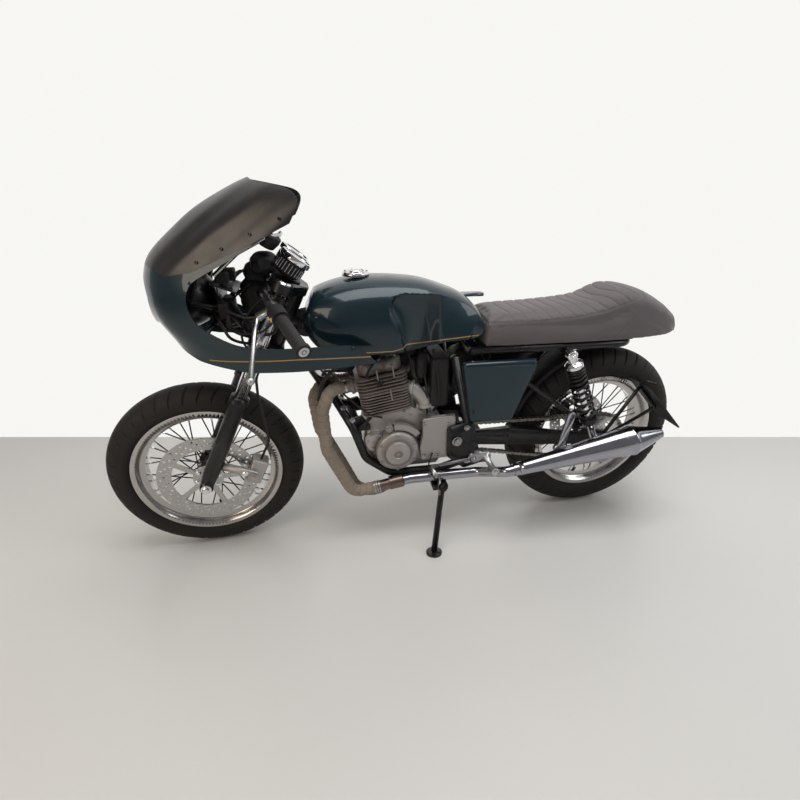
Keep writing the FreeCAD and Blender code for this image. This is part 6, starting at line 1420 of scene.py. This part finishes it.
# The guard's section over the rear tyre: (across, height over its circle)
GUARD_SECTION = ((-56, -10), (-52, 0), (-30, 5), (0, 6.5), (30, 5), (52, 0), (56, -10), (53, -11), (49, -3),
                 (28, 2), (0, 3.5), (-28, 2), (-49, -3), (-53, -11))
GUARD_RADIUS = 342
GUARD_START = 112
GUARD_SPAN = 50


def hidden_boxes():
    """Dark parts deep in the frame: lumps of dark clutter and painted shade, battery tray, inner guard,
    intake elbow and ribs by the fins.
    """
    # Painted shade: these dark lumps fill gaps deep in the frame, standing in for shade as well as dark
    # clutter.
    soft = Form("frame_boots", PLASTIC)
    for index, (centre, size) in enumerate(FRAME_SHADE_AND_CLUTTER):
        pouch(soft, centre, size, index * 2.3 + 0.6)
    soft.done("chassis")
    tray = Form("battery_tray", ENAMEL)
    for low, high, grow in TRAY_BANDS:
        tray.skin([[(996 + a * (86 + grow), b * (74 + grow), z) for a, b in TRAY_RIM] for z in (low, high)])
    tray.done("chassis")
    guard = Form("inner_guard", PLASTIC)
    rings = []
    for step in range(25):
        turn = math.radians(GUARD_START + GUARD_SPAN * step / 24)
        rings.append([(1362 + math.cos(turn) * (GUARD_RADIUS + rise), across,
                       322 + math.sin(turn) * (GUARD_RADIUS + rise)) for across, rise in GUARD_SECTION])
    guard.skin(rings)
    guard.done("chassis")
    elbow = Form("intake_elbow", ALLOY)
    elbow.tube(rounded([(640, -34, 566), (676, -52, 556), (706, -58, 520), (712, -58, 492)], 26), 21, 24)
    elbow.turned((668, -47, 559), (0.9, -0.42, -0.1), ((0, 24), (1, 27), (7, 27), (8, 24)), 28)
    elbow.turned((711, -58, 505), (0.1, 0, -1), ((0, 23), (1, 26), (8, 26), (9, 23)), 28)
    elbow.done("chassis")
    ribs = Form("fin_ribs", FIN_ALLOY)
    for x, z, long in ((556, 598, 40), (606, 608, 44), (600, 530, 40)):
        foot = Vector((x, -79, z))
        up = Vector((-0.1736, 0, 0.9848)) * long
        out = Vector((0.9848, 0, 0.1736)) * 2.2
        flat = (foot - out, foot + out, foot + out + up, foot - out + up)
        ribs.skin([[corner + Vector((0, y, 0)) for corner in flat] for y in (-0.4, 8)])
    ribs.done("chassis")


COVER_FACE = Vector((612, -126.3, 356))
COVER_RECESS = ((0, 21), (4.2, 21), (5, 19.6), (5, 15), (3.6, 14), (3.6, 2))
# The raised arc on the left cover: its two radii, and its start and end in degrees
ARC_RADII = (77, 97)
ARC_TURNS = (38, 96)
SPRING_TOP = Vector((752, -139, 262))
SPRING_FOOT = Vector((744, -176, 214))
SPRING_TURNS = 14


def small_forms():
    """The left cover's recess, raised arc and plug, the plate's upper bracket and the stand's spring."""
    recess = Form("cover_recess", COVER_ALLOY)
    recess.turned(COVER_FACE + Vector((0, 3, 0)), (0, -1, 0), COVER_RECESS, 40)
    start, end = ARC_TURNS
    turns = [math.radians(start + (end - start) * step / 12) for step in range(13)]
    rim = [(radius * math.cos(turn), radius * math.sin(turn))
           for radius, way in zip(ARC_RADII, (turns, turns[::-1])) for turn in way]
    recess.skin([[(COVER_FACE.x + x, y, COVER_FACE.z + z) for x, z in rim] for y in (-84, -100, -101.5)])
    recess.done("chassis")
    plug = Form("cover_plug", DARK_ALLOY)
    plug.turned((586, -84, 440), (0, -1, 0), ((0, 13), (18, 13), (19, 11.6), (19, 8)), 30)
    plug.turned((586, -102, 440), (0, -1, 0), ((0, 6.4), (4, 6.4), (4.6, 5.6)), 6)
    plug.turned(COVER_FACE + Vector((0, -0.4, 0)), (0, -1, 0), ((0, 5), (0.9, 5)), 6)
    plug.done("chassis")
    bracket = Form("plate_bracket", ENAMEL)
    bracket.tube(rounded([(1420, -150, 560), (1424, -172, 580), (1446, -186, 574)], 12), 4, 12)
    bracket.done("chassis")
    spring = Form("stand_spring", RIM_ALLOY)
    axis = (SPRING_FOOT - SPRING_TOP).normalized()
    aside = axis.orthogonal().normalized()
    other = axis.cross(aside)
    coil = []
    for step in range(161):
        turn = step / 160 * SPRING_TURNS * math.tau
        coil.append(SPRING_TOP + (SPRING_FOOT - SPRING_TOP) * (step / 160)
                    + (aside * math.cos(turn) + other * math.sin(turn)) * 5)
    spring.tube(coil, 1.2, 8)
    spring.done("chassis")


engine_lines()
hidden_boxes()
small_forms()


# Fasteners

SPOKE_COUNT = 36
SPOKE_CROSS = math.radians(62)
DISC_BOLTS = 6
DISC_BOLT_CIRCLE = 36
# How far outside the machine the search for a surface starts
OUTSIDE = 320


def polar_spots(node, centre, radius, count, head, first=0.0, side=-1):
    """Heads on a circle about an axis across the machine, found from outside."""
    spots = []
    for index in range(count):
        turn = math.radians(first) + math.tau * index / count
        place = (centre[0] + math.cos(turn) * radius, side * OUTSIDE, centre[1] + math.sin(turn) * radius)
        spots.append((node, place, (0, -side, 0), head))
    return spots


def both_sides(node, x, z, head, outside=OUTSIDE):
    """A head on the left and one on the right of a node, found from outside."""
    return [(node, (x, side * outside, z), (0, -side, 0), head) for side in (-1, 1)]


def left_side(node, x, z, head):
    return both_sides(node, x, z, head)[0]


def engine_fasteners():
    covers = polar_spots("crankcase", (612, 356), 82, 9, 5.2, 14)
    covers += polar_spots("crankcase", (545, 384), 30, 3, 4.6, 40)
    covers += polar_spots("generator_cover", (612, 356), 63, 6, 5.0, 30)
    covers += polar_spots("clutch_cover", (652, 356), 74, 8, 5.2, 10, side=1)
    for x, z in ((700, 452), (702, 336), (780, 446), (748, 330)):
        covers.append(left_side("sprocket_cover", x, z, 5.4))
    for x, z in ((640, 484), (660, 470), (700, 440)):
        covers += both_sides("crankcase", x, z, 5.0)
    screws("engine_screws", CAP_SCREW, BOLT, "chassis", covers)
    heads = [left_side("cylinder_head", x, 560 + (x - 560) * 0.17, 5.5) for x in (530, 566, 600)]
    for x, y in ((510, -45), (560, -50), (610, -45), (510, 45), (560, 50), (610, 45)):
        heads.append(("cylinder_head", (x, y, 900), (0, 0, -1), 6.0))
    screws("head_bolts", HEX_BOLT, BOLT, "chassis", heads)


def frame_fasteners():
    spots = both_sides("swingarm", 810, 384, 13)
    for x, z in ((884, 330), (850, 300), (842, 430)):
        spots += both_sides("pivot_plates", x, z, 7.5)
    for x, z in ((444, 498), (470, 468)):
        spots += both_sides("frame_cradle", x, z, 7)
    spots += both_sides("footrests", 872, 312, 8)
    screws("frame_bolts", HEX_BOLT, BOLT, "chassis", spots)
    black = []
    for x, z in ((112, 972), (176, 1004), (246, 1037), (318, 1071)):
        black += both_sides("screen", x, z, 4.2, 420)
    black += both_sides("side_covers", 850, 500, 4.6)
    screws("panel_screws", CAP_SCREW, ENAMEL, "chassis", black)
    cap = []
    for index in range(7):
        turn = math.tau * index / 7
        cap.append(("fuel_cap", (503 + 33 * math.cos(turn), 33 * math.sin(turn), 1100), (0, 0, -1), 2.8))
    screws("cap_screws", CAP_SCREW, DISC, "chassis", cap)


def fork_fasteners():
    spots = both_sides("fork_lowers", 0, 301, 12) + [left_side("front_caliper", 118, 330, 7)]
    screws("fork_bolts", HEX_BOLT, CHROME, "fork", spots, STEERED)


def wheel_fasteners():
    """Disc bolts, the nipples that hold the spokes in the rims, and the valves."""
    for body, hub, across in (("front_wheel", FRONT_HUB, -68.5), ("rear_wheel", REAR_HUB, 66)):
        matrix = hub @ Matrix.Scale(0.001, 4)
        side = -1 if across < 0 else 1
        bolts = []
        for index in range(DISC_BOLTS):
            turn = math.tau * (index + 0.25) / DISC_BOLTS
            place = matrix @ Vector((DISC_BOLT_CIRCLE * math.cos(turn), across + side * 2.5,
                                     DISC_BOLT_CIRCLE * math.sin(turn)))
            bolts.append((place, matrix.to_3x3() @ Vector((0, side, 0)), None, 0.006))
        repeated(body + "_disc_bolts", HEX_BOLT, CHROME, body, bolts)
        nipples = []
        for index in range(SPOKE_COUNT):
            turn = math.tau * index / SPOKE_COUNT
            lead = 1 if (index // 2) % 2 else -1
            lean = 1 if index % 2 else -1
            outer = Vector((math.cos(turn) * 190.5, lean * 5.6, math.sin(turn) * 190.5))
            root = turn + lead * SPOKE_CROSS
            inner = Vector((math.cos(root) * 34.4, lean * 32, math.sin(root) * 34.4))
            nipples.append((matrix @ outer, matrix.to_3x3() @ (inner - outer), None, 0.001))
        repeated(body + "_nipples", NIPPLE, CHROME, body, nipples)
        valve = Form(body + "_valve", GRIP_RUBBER, hub)
        valve.turned((0, 8, -192), (0, 0.25, 1), ((0, 5), (6, 4), (22, 3.4), (30, 4.2), (34, 4)), 14)
        valve.done(body)


def spoke_nipple():
    form = Form("spoke_nipple", CHROME, UNSCALED)
    form.turned((0, 0, -2), (0, 0, 1), ((0, 4.6), (3, 4.4), (4.4, 3.2), (14, 3.0), (15, 2.2)), 10)
    return form.done(None)


NIPPLE = spoke_nipple()
engine_fasteners()
frame_fasteners()
fork_fasteners()
wheel_fasteners()


# Studio

# Half the floor's width, and half the wall's width, which is also its height, in metres
FLOOR_HALF = 14
WALL_HALF = 9


def plain_mesh(name, corners, material):
    mesh = bpy.data.meshes.new(name)
    mesh.from_pydata([tuple(corner) for corner in corners], [], [tuple(range(len(corners)))])
    mesh.materials.append(material)
    return put_in_scene(name, mesh)


def floor_finish():
    """Smooth pale grey floor that keeps the shadow."""
    finish = Finish("studio_floor")
    point = finish.place()
    haze = finish.noise(point, 1.3, 3.0)
    return finish.shade(Base_Color=finish.blend(haze, (0.6, 0.597, 0.585, 1), (0.64, 0.637, 0.625, 1)),
                        Roughness=finish.ramp(haze, spread(0.34, 0.04)))


def wall_finish():
    """A wall that the camera and reflections see as near white, clear when it is looked at from behind."""
    finish = Finish("studio_wall")
    rays = finish.node("ShaderNodeLightPath", {}, {})
    seen = Wire(finish, rays.outputs["Is Camera Ray"])
    seen = seen.sum("MAXIMUM", seen, Wire(finish, rays.outputs["Is Glossy Ray"]))
    seen = seen.sum("MAXIMUM", seen, Wire(finish, rays.outputs["Is Transmission Ray"]))
    plain = finish.add("ShaderNodeBsdfDiffuse", {}, {"Color": (0.8, 0.8, 0.79, 1)})
    bright = finish.add("ShaderNodeEmission", {}, {"Color": (0.93, 0.925, 0.9, 1), "Strength": 1.0})
    mixed = finish.add("ShaderNodeMixShader", {}, {0: seen, 1: plain, 2: bright})
    behind = finish.add("ShaderNodeNewGeometry", {}, {}, "Backfacing")
    clear = finish.add("ShaderNodeBsdfTransparent", {}, {})
    one_way = finish.add("ShaderNodeMixShader", {}, {0: behind, 1: mixed, 2: clear})
    finish.tree.links.new(one_way.socket, finish.surface.inputs["Surface"])
    return finish.material


def camera_axes():
    """The camera's right, up and forward directions in the row frame."""
    forward = Vector((math.sin(CAMERA_YAW) * math.cos(CAMERA_PITCH),
                      math.cos(CAMERA_YAW) * math.cos(CAMERA_PITCH), -math.sin(CAMERA_PITCH)))
    level = Vector((math.cos(CAMERA_YAW), -math.sin(CAMERA_YAW), 0))
    upward = level.cross(forward)
    right = level * math.cos(CAMERA_ROLL) - upward * math.sin(CAMERA_ROLL)
    up = level * math.sin(CAMERA_ROLL) + upward * math.cos(CAMERA_ROLL)
    return right, up, forward


def add_camera():
    right, up, forward = camera_axes()
    data = bpy.data.cameras.new("photo_camera")
    data.sensor_width = SENSOR_WIDTH
    data.lens = SENSOR_WIDTH * CAMERA_FOCUS_SHARE
    camera = put_in_scene("photo_camera", data)
    turn = Matrix((right, up, -forward)).transposed().to_4x4()
    camera.matrix_world = Matrix.Translation(CAMERA_PLACE) @ turn
    bpy.context.scene.camera = camera


def add_floor_and_wall():
    corners = [(FLOOR_HALF * x, FLOOR_HALF * y, 0) for x, y in ((-1, -1), (1, -1), (1, 1), (-1, 1))]
    floor = plain_mesh("studio_floor", corners, floor_finish())
    ahead = Vector((math.sin(WALL_YAW), math.cos(WALL_YAW), 0))
    aside = Vector((math.cos(WALL_YAW), -math.sin(WALL_YAW), 0)) * WALL_HALF
    middle = Vector((CAMERA_PLACE.x, CAMERA_PLACE.y, 0)) + ahead * WALL_DISTANCE
    rise = Vector((0, 0, WALL_HALF))
    corners = [middle - aside, middle + aside, middle + aside + rise, middle - aside + rise]
    wall = plain_mesh("studio_wall", corners, wall_finish())


def add_lamp(name, place, aim, size, power, colour):
    data = bpy.data.lights.new(name, "AREA")
    data.shape = "RECTANGLE"
    data.size = size[0]
    data.size_y = size[1]
    data.energy = power
    data.color = colour
    lamp = put_in_scene(name, data)
    lamp.location = place
    lamp.rotation_euler = (Vector(aim) - Vector(place)).to_track_quat("-Z", "Y").to_euler()


def add_world():
    world = bpy.data.worlds.new("studio_world")
    world.use_nodes = True
    background = world.node_tree.nodes["Background"]
    background.inputs["Color"].default_value = (0.96, 0.97, 1.0, 1)
    background.inputs["Strength"].default_value = 0.22
    bpy.context.scene.world = world


add_camera()
add_floor_and_wall()
add_world()
add_lamp("ceiling_lamp", (0.2, -0.9, 3.4), (0, 0, 0.3), (3.0, 1.8), 76, (1.0, 0.985, 0.96))
add_lamp("front_lamp", (-2.6, -2.1, 1.6), (-0.4, 0, 0.3), (1.6, 1.6), 32, (1.0, 0.84, 0.66))
add_lamp("rear_lamp", (2.8, -1.6, 2.2), (0.4, 0, 0.5), (1.4, 1.4), 24, (0.96, 0.98, 1.0))

bpy.context.scene.view_settings.view_transform = "Standard"
